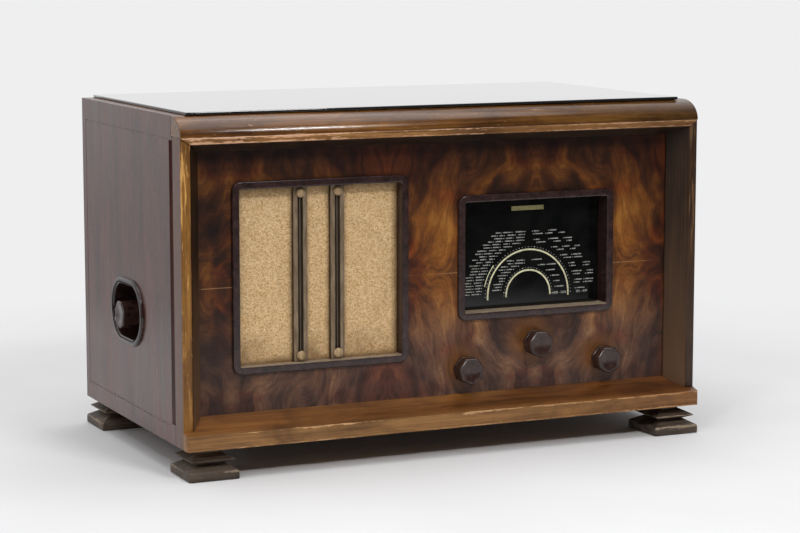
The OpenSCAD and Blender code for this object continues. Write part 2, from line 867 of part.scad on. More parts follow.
module output_transformer() {
    half = [output_w, output_d] / 2;
    yoke = output_h / 7;
    color("#5a544c") placed() translate([output_at[0], output_at[1], board_t]) difference() {
        union() {
            block([-half[0], -half[1] / 2, 0], [half[0], half[1] / 2, output_h]);
            block([-half[0] / 2, -half[1], yoke], [half[0] / 2, half[1], output_h - yoke]);
            block([-half[0] - output_foot, -half[1] / 2, 0],
                [half[0] + output_foot, half[1] / 2, sheet_t]);
        }
        for (s = [-1, 1])
            bar_z(screw_r + fit / 2, -eps, sheet_t + eps, s * (half[0] + output_foot / 2), 0);
    }
}

// Dial

module dial_bezel() {
    color("#3a2c2e") placed() surround(dial_x, dial_z, dial_w, dial_h, glass_y - sleeve_gap);
}

module dial_glass() {
    color("#0c0c0c") placed() along_y(glass_y, glass_y + glass_t)
        translate([dial_x, dial_z]) square([glass_w, glass_h], center = true);
}

lamp_r = 4.6;
lamp_in = 12;
lamp_tail = 8;
lamp_face = 3;
lamp_at = [for (s = [-1, 1])
    [dial_x + s * (dial_w / 2 - lamp_in), dial_z + dial_h / 2 - lamp_in]];

// Sheet-metal tray behind the dial: flange on the panel, ledge behind the glass, back with holes
module dial_housing() {
    color("#c9c1a8") placed() difference() {
        translate([dial_x, 0, dial_z]) difference() {
            union() {
                along_y(panel_back, panel_back + sheet_t)
                    square([tray_w + 2 * frame_flange, tray_h + 2 * frame_flange], center = true);
                along_y(panel_back, hub_y) square([tray_w, tray_h], center = true);
            }
            along_y(panel_back - eps, glass_y + glass_t)
                square([glass_w + 2 * fit, glass_h + 2 * fit], center = true);
            along_y(glass_y, housing_y)
                square([dial_w, dial_h], center = true);
        }
        bar_y(2 * shaft_r, housing_y - eps, hub_y + eps, dial_x, gang_z);
        for (p = lamp_at)
            bar_y(lamp_r + fit, housing_y - eps, hub_y + eps, p[0], p[1]);
        for (p = housing_screws)
            bar_y(screw_r + fit / 2, panel_back - eps, panel_back + sheet_t + eps, p[0], p[1]);
    }
}

module dial_lamps() {
    color("#d8c890") placed()
        for (p = lamp_at) {
            bar_y(lamp_r, housing_y - lamp_face, hub_y + lamp_tail, p[0], p[1]);
            translate([p[0], housing_y - lamp_face, p[1]]) sphere(lamp_r - 2 * fit);
        }
}

// Side cup

module side_cup() {
    color("#3a2c2e") placed() difference() {
        translate([0, cup_y, cup_z]) difference() {
            union() {
                along_x(-rim_out, 0) oblong(cup_len + 2 * rim_w, cup_h + 2 * rim_w);
                along_x(0, cup_d) oblong(cup_len + 2 * sleeve_t, cup_h + 2 * sleeve_t);
            }
            along_x(-rim_out - eps, cup_d - sleeve_t) oblong(cup_len, cup_h);
        }
        bar_x(1.5 * shaft_r, cup_d - sleeve_t - eps, cup_d + eps, range_y, range_z);
    }
}

// Chassis

// Columns of the pieces on the deck from its right edge, rows from its front and rear edges
column_1 = 31;
column_2 = 86;
column_3 = 168;
column_4 = 224;
front_row = 38;
side_row = 68;
rear_row = 25;
inner_row = 72;
valves = [[chassis_x1 - column_4, chassis_y + front_row],
    [chassis_x1 - column_3, chassis_y1 - inner_row],
    [chassis_x1 - column_3, chassis_y1 - rear_row],
    [chassis_x1 - column_2, chassis_y + front_row],
    [chassis_x1 - column_1, chassis_y + side_row]];
can_left = 214;
can_right = 122;
can_back = 57;
cans = [[chassis_x1 - can_left, chassis_y1 - can_back],
    [chassis_x1 - can_right, chassis_y1 - inner_row]];
smooth_in = 81;
smooth_front = 88;
smooth_at = [chassis_x1 - smooth_in, chassis_y + smooth_front];
mains_w = 76;
mains_d = 62;
mains_h = 66;
mains_edge = 13;
mains_back = 16;
mains_at = [chassis_x1 - mains_edge - mains_w / 2, chassis_y1 - mains_back - mains_d / 2];

clamp_t = 2;
clamp_bolt_r = 3.5;

// Fittings on the rear apron
rear_z = 48;
socket_in = 58;
selector_in = 96;
gland_in = 46;
socket_x = chassis_x0 + socket_in;
selector_x = chassis_x1 - selector_in;
gland_x = chassis_x1 - gland_in;
gland_r = 7;
control_r = 13;
control_d = 15;
bush_r = 5;
bush_len = 8;
nut_r = 8;
nut_t = 2.5;

module chassis() {
    x0 = chassis_x0;
    x1 = chassis_x1;
    y0 = chassis_y;
    y1 = chassis_y1;
    color("#8a8c88") placed() difference() {
        block([x0, y0, board_t], [x1, y1, deck_z]);
        block([x0 + sheet_t, y0 + sheet_t, board_t + sheet_t],
            [x1 - sheet_t, y1 - sheet_t, under_deck]);
        block([x0 + sheet_t + flange_w, y0 + sheet_t, board_t - eps],
            [x1 - sheet_t - flange_w, y1 - sheet_t, board_t + sheet_t + eps]);
        for (p = valves)
            bar_z(base_r - 2, under_deck - eps, deck_z + eps, p[0], p[1]);
        for (x = bolt_xs, y = bolt_ys)
            bar_z(bolt_r + fit, board_t - eps, board_t + sheet_t + eps, x, y);
        for (x = [volume_x, tone_x])
            bar_y(bush_r + fit, y0 - eps, y0 + sheet_t + eps, x, low_knob_z);
        bar_y(bush_r + 1 + fit, y0 - eps, y0 + sheet_t + eps, dial_x, tuning_z);
        bar_y(gland_r + fit, y1 - sheet_t - eps, y1 + eps, gland_x, rear_z);
    }
}

module chassis_bolts() {
    hex_r = bolt_r * 1.8;
    nut_z = board_t + sheet_t;
    color("#9a9a92") placed()
        for (x = bolt_xs, y = bolt_ys) {
            bar_z(hex_r, bolt_sunk, bolt_head_h, x, y, 6);
            bar_z(bolt_r, bolt_head_h, nut_z + 1.5 * bolt_head_h, x, y);
            bar_z(hex_r, nut_z, nut_z + bolt_head_h, x, y, 6);
        }
}

// Tuning condenser: frame with two dividers, fixed plates on two rods, moving plates on the shaft
rod_r = 1.5;
rod_x = 22.4;
rod_z = 9;
stator_r = 26;
gang_top = gang_z + stator_r + 1;
divider_hole = 8;
rotor_hub_r = shaft_r + 2;

module gang_plate(y, t, hole_r) {
    difference() {
        block([dial_x - gang_w / 2, y, deck_z], [dial_x + gang_w / 2, y + t, gang_top]);
        bar_y(hole_r, y - eps, y + t + eps, dial_x, gang_z);
    }
}

module gang_frame() {
    color("#a8a89c") placed() {
        block([dial_x - gang_w / 2, gang_y, deck_z], [dial_x + gang_w / 2, gang_back, deck_z + 2]);
        for (y = [gang_y, gang_back - plate_end_t])
            gang_plate(y, plate_end_t, bore_r);
        for (i = [1, 2])
            difference() {
                gang_plate(gang_y + i * section_len + 2 * fit, sheet_t, divider_hole);
                for (s = [-1, 1])
                    bar_y(rod_r + fit, gang_y, gang_back, dial_x - rod_x, gang_z + s * rod_z);
            }
    }
}

module gang_stators() {
    color("#b8b8ae") placed() {
        for (k = [0 : 2], i = [0 : plate_count - 2])
            along_y(vane_y(k, i) + plate_pitch / 2, vane_y(k, i) + plate_pitch / 2 + vane_t)
                translate([dial_x, gang_z]) difference() {
                    intersection() {
                        circle(stator_r);
                        translate([-stator_r, -stator_r])
                            square([stator_r - rotor_hub_r, 2 * stator_r]);
                    }
                    circle(divider_hole);
                }
        for (s = [-1, 1])
            bar_y(rod_r, gang_y + plate_end_t, gang_back - plate_end_t, dial_x - rod_x,
                gang_z + s * rod_z);
    }
}

// Place of moving plate i in section k
function vane_y(k, i) = gang_y + plate_end_t + (k + 0.5) * section_len
    + (i - (plate_count - 1) / 2) * plate_pitch - 0.9;

pin_r = 1.5;
pin_len = 5;
pin_ring = 9;
socket_h = 4;
pin_root = 1;
base_z = deck_z + socket_h;

module pins(extra, z0, z1) {
    for (a = [0 : 72 : 288])
        bar_z(pin_r + extra, z0, z1, pin_ring * cos(a), pin_ring * sin(a));
}

module valve_sockets() {
    color("#4a3020") placed()
        for (p = valves)
            translate([p[0], p[1], 0]) difference() {
                bar_z(socket_r, deck_z, base_z, 0, 0);
                pins(fit / 2, deck_z - eps, base_z + eps);
            }
}

module valve_bases() {
    color("#1c1816") placed()
        for (p = valves)
            translate([p[0], p[1], 0]) {
                bar_z(base_r, base_z, base_z + base_h, 0, 0);
                pins(0, base_z - pin_len + pin_root, base_z);
            }
}

module valve_bulbs() {
    z = base_z + base_h;
    bulb_mid = 1.3 * bulb_r;
    color("#b8c4c0") placed()
        for (p = valves)
            translate([p[0], p[1], z]) {
                cylinder(r = base_r - 2, h = bulb_r);
                translate([0, 0, bulb_mid]) sphere(bulb_r);
                translate([0, 0, bulb_mid]) cylinder(r = bulb_r / 2, h = bulb_mid);
                translate([0, 0, 2 * bulb_mid]) sphere(bulb_r / 2);
            }
}

can_cap = 1.5;

module coil_cans() {
    color("#b4b4ae") placed()
        for (p = cans)
            translate([p[0], p[1], deck_z]) {
                linear_extrude(can_h) round_rect(can_w, can_w, can_w / 8);
                cylinder(r = can_w / 3, h = can_h + can_cap);
            }
}

module smoothing_can() {
    color("#a9aca8") placed() translate([smooth_at[0], smooth_at[1], deck_z]) {
        cylinder(r = smooth_r * 1.25, h = can_cap);
        cylinder(r = smooth_r, h = smooth_h);
        cylinder(r = smooth_r * 0.8, h = smooth_h + can_cap);
    }
}

module mains_transformer() {
    half_w = mains_w / 2;
    core = mains_d / 5;
    clamp = mains_w / 12;
    color("#4e4a44") placed() translate([mains_at[0], mains_at[1], deck_z]) {
        block([-half_w, -core, clamp_t], [half_w, core, mains_h]);
        block([clamp * 1.5 - half_w, -mains_d / 2, clamp * 1.5],
            [half_w - clamp * 1.5, mains_d / 2, mains_h - clamp * 1.5]);
        for (x = [clamp - half_w, half_w - clamp]) {
            block([x - clamp, -core - clamp, 0], [x + clamp, core + clamp, clamp_t]);
            for (z = [clamp + clamp_t, mains_h - clamp])
                bar_y(clamp_bolt_r, -core - clamp_t * 2, core + clamp_t * 2, x, z, 6);
        }
    }
}

// Volume and tone controls: body behind the front apron, threaded bush and nut before it
module control_bodies() {
    back = chassis_y + sheet_t;
    color("#6a5a48") placed()
        for (x = [volume_x, tone_x])
            difference() {
                union() {
                    bar_y(control_r, back, back + control_d, x, low_knob_z);
                    bar_y(bush_r, chassis_y - bush_len, back, x, low_knob_z);
                    bar_y(nut_r, chassis_y - nut_t, chassis_y, x, low_knob_z, 6);
                }
                bar_y(bore_r, chassis_y - bush_len - 1, back + control_d - 2, x, low_knob_z);
            }
}

bush_y = drum_y + drum_w + turn_gap;
tuning_bush_len = 12;
bush_end = chassis_y + sheet_t + tuning_bush_len;

module tuning_bush() {
    color("#a08c58") placed() difference() {
        union() {
            bar_y(bush_r + 4, bush_y, chassis_y, dial_x, tuning_z);
            bar_y(bush_r + 1, chassis_y, bush_end, dial_x, tuning_z);
        }
        bar_y(bore_r, bush_y - eps, bush_end + eps, dial_x, tuning_z);
    }
}

// Range switch on its bracket at the left end of the deck
wafer_r = 16;
wafer_t = 1.5;
wafer_gap = 10;
body_r = 12;
body_end = 7;
pillar_r = 1.6;
bracket_w = 40;
bracket_foot = 12;
bracket_top = range_z + 18;
wafer_xs = [range_x + 2 * body_end, range_x + 2 * body_end + wafer_gap];

module range_switch() {
    color("#8c7c58") placed() difference() {
        union() {
            block([range_x, range_y - bracket_w / 2, deck_z],
                [range_x + wafer_t, range_y + bracket_w / 2, bracket_top]);
            block([range_x, range_y - bracket_w / 2, deck_z],
                [range_x + bracket_foot, range_y + bracket_w / 2, deck_z + wafer_t]);
            bar_x(bush_r, range_x - bush_len, range_x, range_y, range_z);
            bar_x(nut_r, range_x - nut_t, range_x, range_y, range_z, 6);
            bar_x(body_r, range_x + wafer_t, range_x + body_end, range_y, range_z);
            for (x = wafer_xs)
                bar_x(wafer_r, x, x + wafer_t, range_y, range_z);
            for (s = [-1, 1])
                bar_x(pillar_r, range_x + wafer_t, wafer_xs[1] + 2 * wafer_t,
                    range_y + s * (wafer_r - 2 * pillar_r), range_z);
        }
        bar_x(bore_r, range_x - bush_len - 1, range_x + body_end + 1, range_y, range_z);
        bar_x(bore_r + 2 * fit, wafer_xs[0] - 1, wafer_xs[1] + wafer_t + 1, range_y, range_z);
    }
}

// Socket strip and voltage selector on the rear apron
socket_bore = 2.1;
socket_pitch = 20;
socket_tube = 6;
strip_w = 64;
strip_h = 22;
strip_t = 2;
selector_r = 16;
selector_slot = 2;

module rear_sockets() {
    y = chassis_y1;
    selector_y = y + socket_tube + selector_slot;
    color("#5a3c24") placed() difference() {
        union() {
            block([socket_x - strip_w / 2, y, rear_z - strip_h / 2],
                [socket_x + strip_w / 2, y + strip_t, rear_z + strip_h / 2]);
            for (i = [-1 : 1])
                bar_y(socket_bore * 5 / 3, y, y + socket_tube, socket_x + i * socket_pitch, rear_z);
            bar_y(selector_r, y, y + 1.5 * strip_t, selector_x, rear_z);
            bar_y(selector_r - 3 * strip_t, y, selector_y, selector_x, rear_z);
        }
        for (i = [-1 : 1])
            bar_y(socket_bore, y + strip_t / 3, y + socket_tube + eps,
                socket_x + i * socket_pitch, rear_z);
        block([selector_x - selector_r / 2, selector_y - selector_slot,
            rear_z - selector_slot / 2],
            [selector_x + selector_r / 2, selector_y + eps, rear_z + selector_slot / 2]);
    }
}

lead_r = 3.6;
gland_rim = 2;

module mains_gland() {
    front = chassis_y1 - sheet_t - gland_rim;
    color("#26221f") placed() turned_y(gland_x, rear_z) {
        translate([lead_r, front]) square([gland_r - lead_r, sheet_t + 2 * gland_rim]);
        for (y = [front, chassis_y1])
            translate([lead_r, y]) square([gland_r + gland_rim - lead_r, gland_rim]);
    }
}

// Tag board on four pillars under the deck, with tubular condensers and resistors
tag_w = 150;
tag_d = 44;
tag_t = 2;
tag_drop = 28;
tag_in = 113;
tag_back = 114;
tag_z = deck_z - tag_drop;
tag_post_r = 3;
part_pitch = 26;
tube_r = 6;
tube_len = 28;
resistor_r = 2.8;
resistor_len = 20;

module tag_board() {
    half = [tag_w, tag_d] / 2;
    color("#8a5a30") placed() translate([chassis_x0 + tag_in, chassis_y + tag_back, 0]) {
        block([-half[0], -half[1], tag_z], [half[0], half[1], tag_z + tag_t]);
        for (x = [-1, 1], y = [-1, 1])
            bar_z(tag_post_r, tag_z + tag_t, under_deck, x * (half[0] - 2 * tag_post_r),
                y * (half[1] - 2 * tag_post_r));
        for (i = [-2 : 2]) {
            bar_y(tube_r, -tube_len / 2, tube_len / 2, i * part_pitch,
                tag_z - tube_r + tag_t / 4);
            bar_y(resistor_r, -resistor_len / 2, resistor_len / 2, (i + 0.46) * part_pitch,
                tag_z - resistor_r + tag_t / 4);
        }
    }
}

// Tuning drive

waist_d = 0.7;
waist_w = 1.2;
base_rim = 3.4;
dish_d = 0.6;
face_t = 2;
shaft_in = 2.5;

// Outline round the drum and the spindle, grown by g
module loop_outline(g) {
    hull() {
        translate([dial_x, gang_z]) circle(drum_r + g, $fn = 96);
        translate([dial_x, tuning_z]) circle(drive_r + g);
    }
}

module drive_cord() {
    color("#c8bfa4") placed() along_y(cord_y, cord_y + cord_t) difference() {
        loop_outline(cord_t + 2 * run);
        loop_outline(2 * run);
    }
}

drum_hub_r = 8;
drum_web = 2;
rim_in = 3;
rim_h = 2;

module drive_drum() {
    groove_y = drum_y + (drum_w - groove_w_drum) / 2;
    color("#c8a050") placed() turned_y(dial_x, gang_z) difference() {
        union() {
            translate([bore_r, drum_y]) square([drum_hub_r - bore_r, drum_w]);
            translate([bore_r, drum_y + (drum_w - drum_web) / 2])
                square([drum_r - bore_r, drum_web]);
            translate([drum_r - rim_in, drum_y]) square([rim_in + rim_h, drum_w]);
        }
        translate([drum_r, groove_y]) square([rim_h + 1, groove_w_drum]);
    }
}

pointer_t = 1;
pointer_w = 1.2;
pointer_tail = 10;
pointer_hub_r = 6;
pointer_hub_t = 3;
pointer_y = (glass_y + glass_t + housing_y - pointer_t) / 2;
collar_t = 2;
drive_flange_r = drive_r + 1.5;
shaft_y = knob_back - knob_len + shaft_in;

module pointer() {
    color("#d8d0b0") placed() difference() {
        union() {
            bar_y(pointer_hub_r, pointer_y, pointer_y + pointer_hub_t, dial_x, gang_z);
            block([dial_x - pointer_len, pointer_y, gang_z - pointer_w / 2],
                [dial_x + pointer_tail, pointer_y + pointer_t, gang_z + pointer_w / 2]);
        }
        bar_y(bore_r, pointer_y - eps, pointer_y + pointer_hub_t + eps, dial_x, gang_z);
    }
}

module tuning_rotor() {
    color("#c4c4ba") placed() {
        bar_y(shaft_r, pointer_y - 0.4, gang_back + 1, dial_x, gang_z);
        for (k = [0 : 2], i = [0 : plate_count - 1])
            along_y(vane_y(k, i), vane_y(k, i) + vane_t) translate([dial_x, gang_z]) {
                intersection() {
                    circle(rotor_r);
                    translate([-rotor_r, -rotor_r]) square([rotor_r + rod_r, 2 * rotor_r]);
                }
                circle(rotor_hub_r);
            }
    }
}

module tuning_spindle() {
    groove_y = drum_y + (drum_w - groove_w_drum) / 2;
    color("#b0a890") placed() turned_y(dial_x, tuning_z) {
        translate([0, shaft_y])
            square([shaft_r, bush_end + turn_gap + collar_t - shaft_y]);
        translate([0, drum_y]) square([drive_flange_r, groove_y - drum_y]);
        translate([0, groove_y + groove_w_drum])
            square([drive_flange_r, drum_y + drum_w - groove_y - groove_w_drum]);
        translate([0, bush_end + turn_gap]) square([shaft_r + collar_t, collar_t]);
    }
}

// Knobs

// A knob with its face at 0 and its back at len, its axis along Z, one corner along +X
module knob(len) {
    side_angle = 360 / knob_sides;
    flat_r = knob_r * cos(side_angle / 2);
    waist_z = len - base_rim - waist_w;
    difference() {
        union() {
            difference() {
                cylinder(r = knob_r, h = waist_z, $fn = knob_sides);
                for (i = [0 : knob_sides - 1])
                    rotate(side_angle * (i + 0.5)) translate([flat_r, 0, 0]) rotate([0, 45, 0])
                        cube([sqrt(2) * knob_bevel, knob_r * 2, sqrt(2) * knob_bevel],
                            center = true);
            }
            translate([0, 0, waist_z])
                cylinder(r = knob_r - waist_d, h = waist_w, $fn = knob_sides);
            translate([0, 0, len - base_rim])
                cylinder(r = knob_r, h = base_rim, $fn = knob_sides);
        }
        translate([0, 0, -1]) cylinder(r = knob_r - 4 * knob_bevel, h = 1 + dish_d);
        translate([0, 0, face_t]) cylinder(r = bore_r, h = len);
    }
}

module front_knob(x, z) {
    translate([x, knob_back - knob_len, z]) rotate([-90, 90, 0]) knob(knob_len);
}

module volume_knob() {
    color("#3a2a28") placed() front_knob(volume_x, low_knob_z);
}

module tone_knob() {
    color("#3a2a28") placed() front_knob(tone_x, low_knob_z);
}

module tuning_knob() {
    color("#3a2a28") placed() front_knob(dial_x, tuning_z);
}

control_shaft_end = chassis_y + sheet_t + control_d - 3;

module control_shaft(x) {
    bar_y(shaft_r, shaft_y, control_shaft_end, x, low_knob_z);
}

module volume_shaft() {
    color("#b0a890") placed() control_shaft(volume_x);
}

module tone_shaft() {
    color("#b0a890") placed() control_shaft(tone_x);
}

range_knob_len = cup_d - sleeve_t - range_knob_gap + range_knob_out;

module range_knob() {
    color("#241c1c") placed() translate([-range_knob_out, range_y, range_z])
        rotate([0, 90, 0]) knob(range_knob_len);
}

module range_shaft() {
    color("#b0a890") placed()
        bar_x(shaft_r, -range_knob_out + shaft_in, wafer_xs[1] + 2 * wafer_t, range_y, range_z);
}

side_left();
side_right();
post_left();
post_right();
top_board();
bottom_board();
case_battens();
front_panel();
top_roll();
lip_strip();
splay_left();
splay_right();
splay_top();
sill();
top_plate();
feet();
rear_cover();
wood_screws();
grille_bezel();
grille_cloth();
grille_bars();
bar_studs();
baffle_board();
speaker_basket();
speaker_cone();
speaker_magnet();
output_transformer();
dial_bezel();
dial_glass();
dial_housing();
dial_lamps();
side_cup();
chassis();
chassis_bolts();
gang_frame();
gang_stators();
valve_sockets();
valve_bases();
valve_bulbs();
coil_cans();
smoothing_can();
mains_transformer();
control_bodies();
tuning_bush();
range_switch();
rear_sockets();
mains_gland();
tag_board();
drive_cord();
volume_knob();
volume_shaft();
tone_knob();
tone_shaft();
tuning_knob();
tuning_spindle();
tuning_rotor();
drive_drum();
pointer();
range_knob();
range_shaft();
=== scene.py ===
"""Table radio receiver in a wooden case: its shaped pieces, finishes and studio."""

import math
import random

import bmesh
import bpy
from mathutils import Matrix, Vector


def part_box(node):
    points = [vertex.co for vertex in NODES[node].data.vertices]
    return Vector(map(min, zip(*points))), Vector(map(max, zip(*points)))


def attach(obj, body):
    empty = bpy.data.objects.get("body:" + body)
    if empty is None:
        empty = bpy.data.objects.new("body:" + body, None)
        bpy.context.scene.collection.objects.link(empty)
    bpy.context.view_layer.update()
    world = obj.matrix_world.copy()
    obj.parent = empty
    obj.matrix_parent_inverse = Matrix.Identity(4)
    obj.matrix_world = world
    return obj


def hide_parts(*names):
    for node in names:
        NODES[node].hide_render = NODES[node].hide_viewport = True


bl_info = {
    "name": "Table radio receiver",
    "version": (1, 0, 0),
    "blender": (4, 5, 0),
    "location": "View3D > Sidebar > Radio",
    "description": "Builds the shaped pieces, finishes and studio of a table radio receiver",
    "category": "Object",
}

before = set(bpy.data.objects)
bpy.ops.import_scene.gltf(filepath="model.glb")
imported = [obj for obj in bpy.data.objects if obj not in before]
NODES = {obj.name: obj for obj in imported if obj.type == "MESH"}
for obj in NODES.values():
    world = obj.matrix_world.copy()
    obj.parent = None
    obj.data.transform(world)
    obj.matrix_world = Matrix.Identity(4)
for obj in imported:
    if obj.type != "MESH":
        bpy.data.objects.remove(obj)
MM = 0.001
CASE_LOW = Vector((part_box("side_left")[0].x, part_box("post_left")[0].y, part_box("side_left")[0].z))
CASE_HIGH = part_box("side_right")[1].copy()
FLOOR_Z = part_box("feet")[0].z
PANEL_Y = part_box("front_panel")[0].y
UP = Vector((0, 0, 1))
FRONT = Vector((0, -1, 0))
LEFT = Vector((-1, 0, 0))


def middle(node):
    """Centre of a node's box."""
    low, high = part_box(node)
    return (low + high) / 2


def linear(code):
    """An sRGB hex colour as linear red, green and blue, with an alpha of 1."""
    parts = [int(code[i:i + 2], 16) / 255 for i in (1, 3, 5)]
    return tuple(c / 12.92 if c <= 0.04045 else ((c + 0.055) / 1.055) ** 2.4 for c in parts) + (1.0,)


# Settings that a user would change


def size(name, description, default):
    """A length in metres."""
    return bpy.props.FloatProperty(name=name, description=description, default=default, min=0, max=10,
                                   subtype="DISTANCE", unit="LENGTH", precision=4)


def shade(name, description, code):
    """A colour, given as an sRGB hex value."""
    return bpy.props.FloatVectorProperty(name=name, description=description, size=4, min=0, max=1,
                                         subtype="COLOR", default=linear(code))


def power(name, description, default):
    """A lamp's power in watts."""
    return bpy.props.FloatProperty(name=name, description=description, default=default, min=0, max=500,
                                   unit="POWER")


class RadioCaseSettings(bpy.types.PropertyGroup):
    edge: size("Edge easing", "Bevel on the arrises of the boards and mouldings", 0.0006)
    roll_edge: size("Roll easing", "Bevel on the arrises of the roll, lip, sill and top plate", 0.0008)
    foot_edge: size("Foot easing", "Bevel on the worn arrises of the feet", 0.0014)
    leaf: size("Veneer leaf", "Width of one leaf of the front panel's veneer", 0.1637)


class RadioGrilleSettings(bpy.types.PropertyGroup):
    thread: size("Thread pitch", "Distance between two threads of the cloth", 0.0013)
    sag: size("Sag", "How far the cloth gives between its edges", 0.0002)
    stain: size("Stain radius", "Radius of the round stain in front of the loudspeaker", 0.062)


class RadioDialSettings(bpy.types.PropertyGroup):
    outer: size("Outer arc", "Radius of the outer scale line", 0.0459)
    inner: size("Inner arc", "Radius of the inner scale line", 0.025)
    line: size("Line width", "Width of the two scale lines", 0.0017)
    reach: size("Scale reach", "Radius that the rows of dashes fill", 0.074)
    row: size("Row spacing", "Height from one row of dashes to the next", 0.0029)


class RadioKnobSettings(bpy.types.PropertyGroup):
    sides: bpy.props.IntProperty(name="Sides", description="Flats round a knob", default=7, min=5, max=9)
    radius: size("Radius", "From a knob's axis to its corners", 0.0142)
    bevel: size("Face bevel", "Bevel round a knob's face", 0.0012)
    dish: size("Dish depth", "Depth of the hollow in a knob's face", 0.0011)


class RadioSurroundSettings(bpy.types.PropertyGroup):
    band: size("Band width", "Width of the moulded band round an opening", 0.0074)
    corner: size("Corner radius", "Outer corner of the moulded band", 0.009)
    ease: size("Edge radius", "Rounding of the band's front edges", 0.0013)
    sleeve: size("Sleeve wall", "Thickness of the sleeve that lines an opening", 0.0016)


class RadioStageSettings(bpy.types.PropertyGroup):
    lens: bpy.props.FloatProperty(name="Lens", description="Focal length in mm on a 36 mm wide sensor",
                                  default=107.26, min=20, max=300)
    overhead: power("Overhead light", "Power of the large light above", 44)
    key: power("Key light", "Power of the front light, which shines in the roll's left end", 22)
    fill: power("Left light", "Power of the light on the left", 8)
    edge: power("Edge light", "Power of the small light that draws the bevels of the knobs", 9)
    backdrop: shade("Backdrop", "Colour of the floor and the background", "#efeff0")


SETTINGS = {
    "radio_case": RadioCaseSettings,
    "radio_grille": RadioGrilleSettings,
    "radio_dial": RadioDialSettings,
    "radio_knobs": RadioKnobSettings,
    "radio_surrounds": RadioSurroundSettings,
    "radio_stage": RadioStageSettings,
}


def chosen(group):
    """The settings of one group."""
    return getattr(bpy.context.scene, group)


# Material nodes


def connect(tree, node, inputs):
    """Sets or links a node's sockets, given by name or in order. Only sockets in use are counted."""
    sockets = [s for s in node.inputs if s.enabled]
    named = {s.name: s for s in reversed(sockets)}
    for key, value in inputs.items() if isinstance(inputs, dict) else enumerate(inputs):
        socket = sockets[key] if isinstance(key, int) else named[key]
        if isinstance(value, bpy.types.NodeSocket):
            tree.links.new(value, socket)
        else:
            socket.default_value = value


def add(tree, kind, inputs=(), stops=(), out=None, **settings):
    """Adds a shader node with its settings, sockets and ramp stops, and returns one output."""
    node = tree.nodes.new("ShaderNode" + kind)
    for name, value in settings.items():
        setattr(node, name, value)
    connect(tree, node, inputs)
    for index, (place, value) in enumerate(stops):
        element = node.color_ramp.elements[index] if index < 2 else node.color_ramp.elements.new(place)
        element.position = place
        element.color = linear(value) if isinstance(value, str) else (value, value, value, 1.0)
    return node.outputs[out] if out else next(s for s in node.outputs if s.enabled)


def start(name):
    """A new material: its tree, its Principled shader and its Object coordinates."""
    material = bpy.data.materials.new(name)
    material.use_nodes = True
    tree = material.node_tree
    return material, tree, tree.nodes["Principled BSDF"], add(tree, "TexCoord", out="Object")


def cells(*sizes):
    """The scale of a pattern whose cell has the given sizes in mm along X, Y and Z."""
    return [1 / (s * MM) for s in sizes]


def along(axis, length, width):
    """Cell sizes of a pattern that is long on one axis and narrow on the others."""
    return [length if name == axis else width for name in "XYZ"]


def edge_wear(tree, place, edges, reach):
    """A value of 1 on the given edges that falls to 0 at reach. An edge is an axis and a point on it."""
    nearest = None
    for axis, point in edges:
        mask = [0.0 if name == axis else 1.0 for name in "XYZ"]
        flat = add(tree, "VectorMath", [place, mask], operation="MULTIPLY")
        target = [p * m for p, m in zip(point, mask)]
        away = add(tree, "VectorMath", [flat, target], operation="DISTANCE", out="Value")
        nearest = away if nearest is None else add(tree, "Math", [nearest, away], operation="MINIMUM")
    return add(tree, "MapRange", {"Value": nearest, "From Min": 0.0, "From Max": reach,
                                  "To Min": 1.0, "To Max": 0.0})


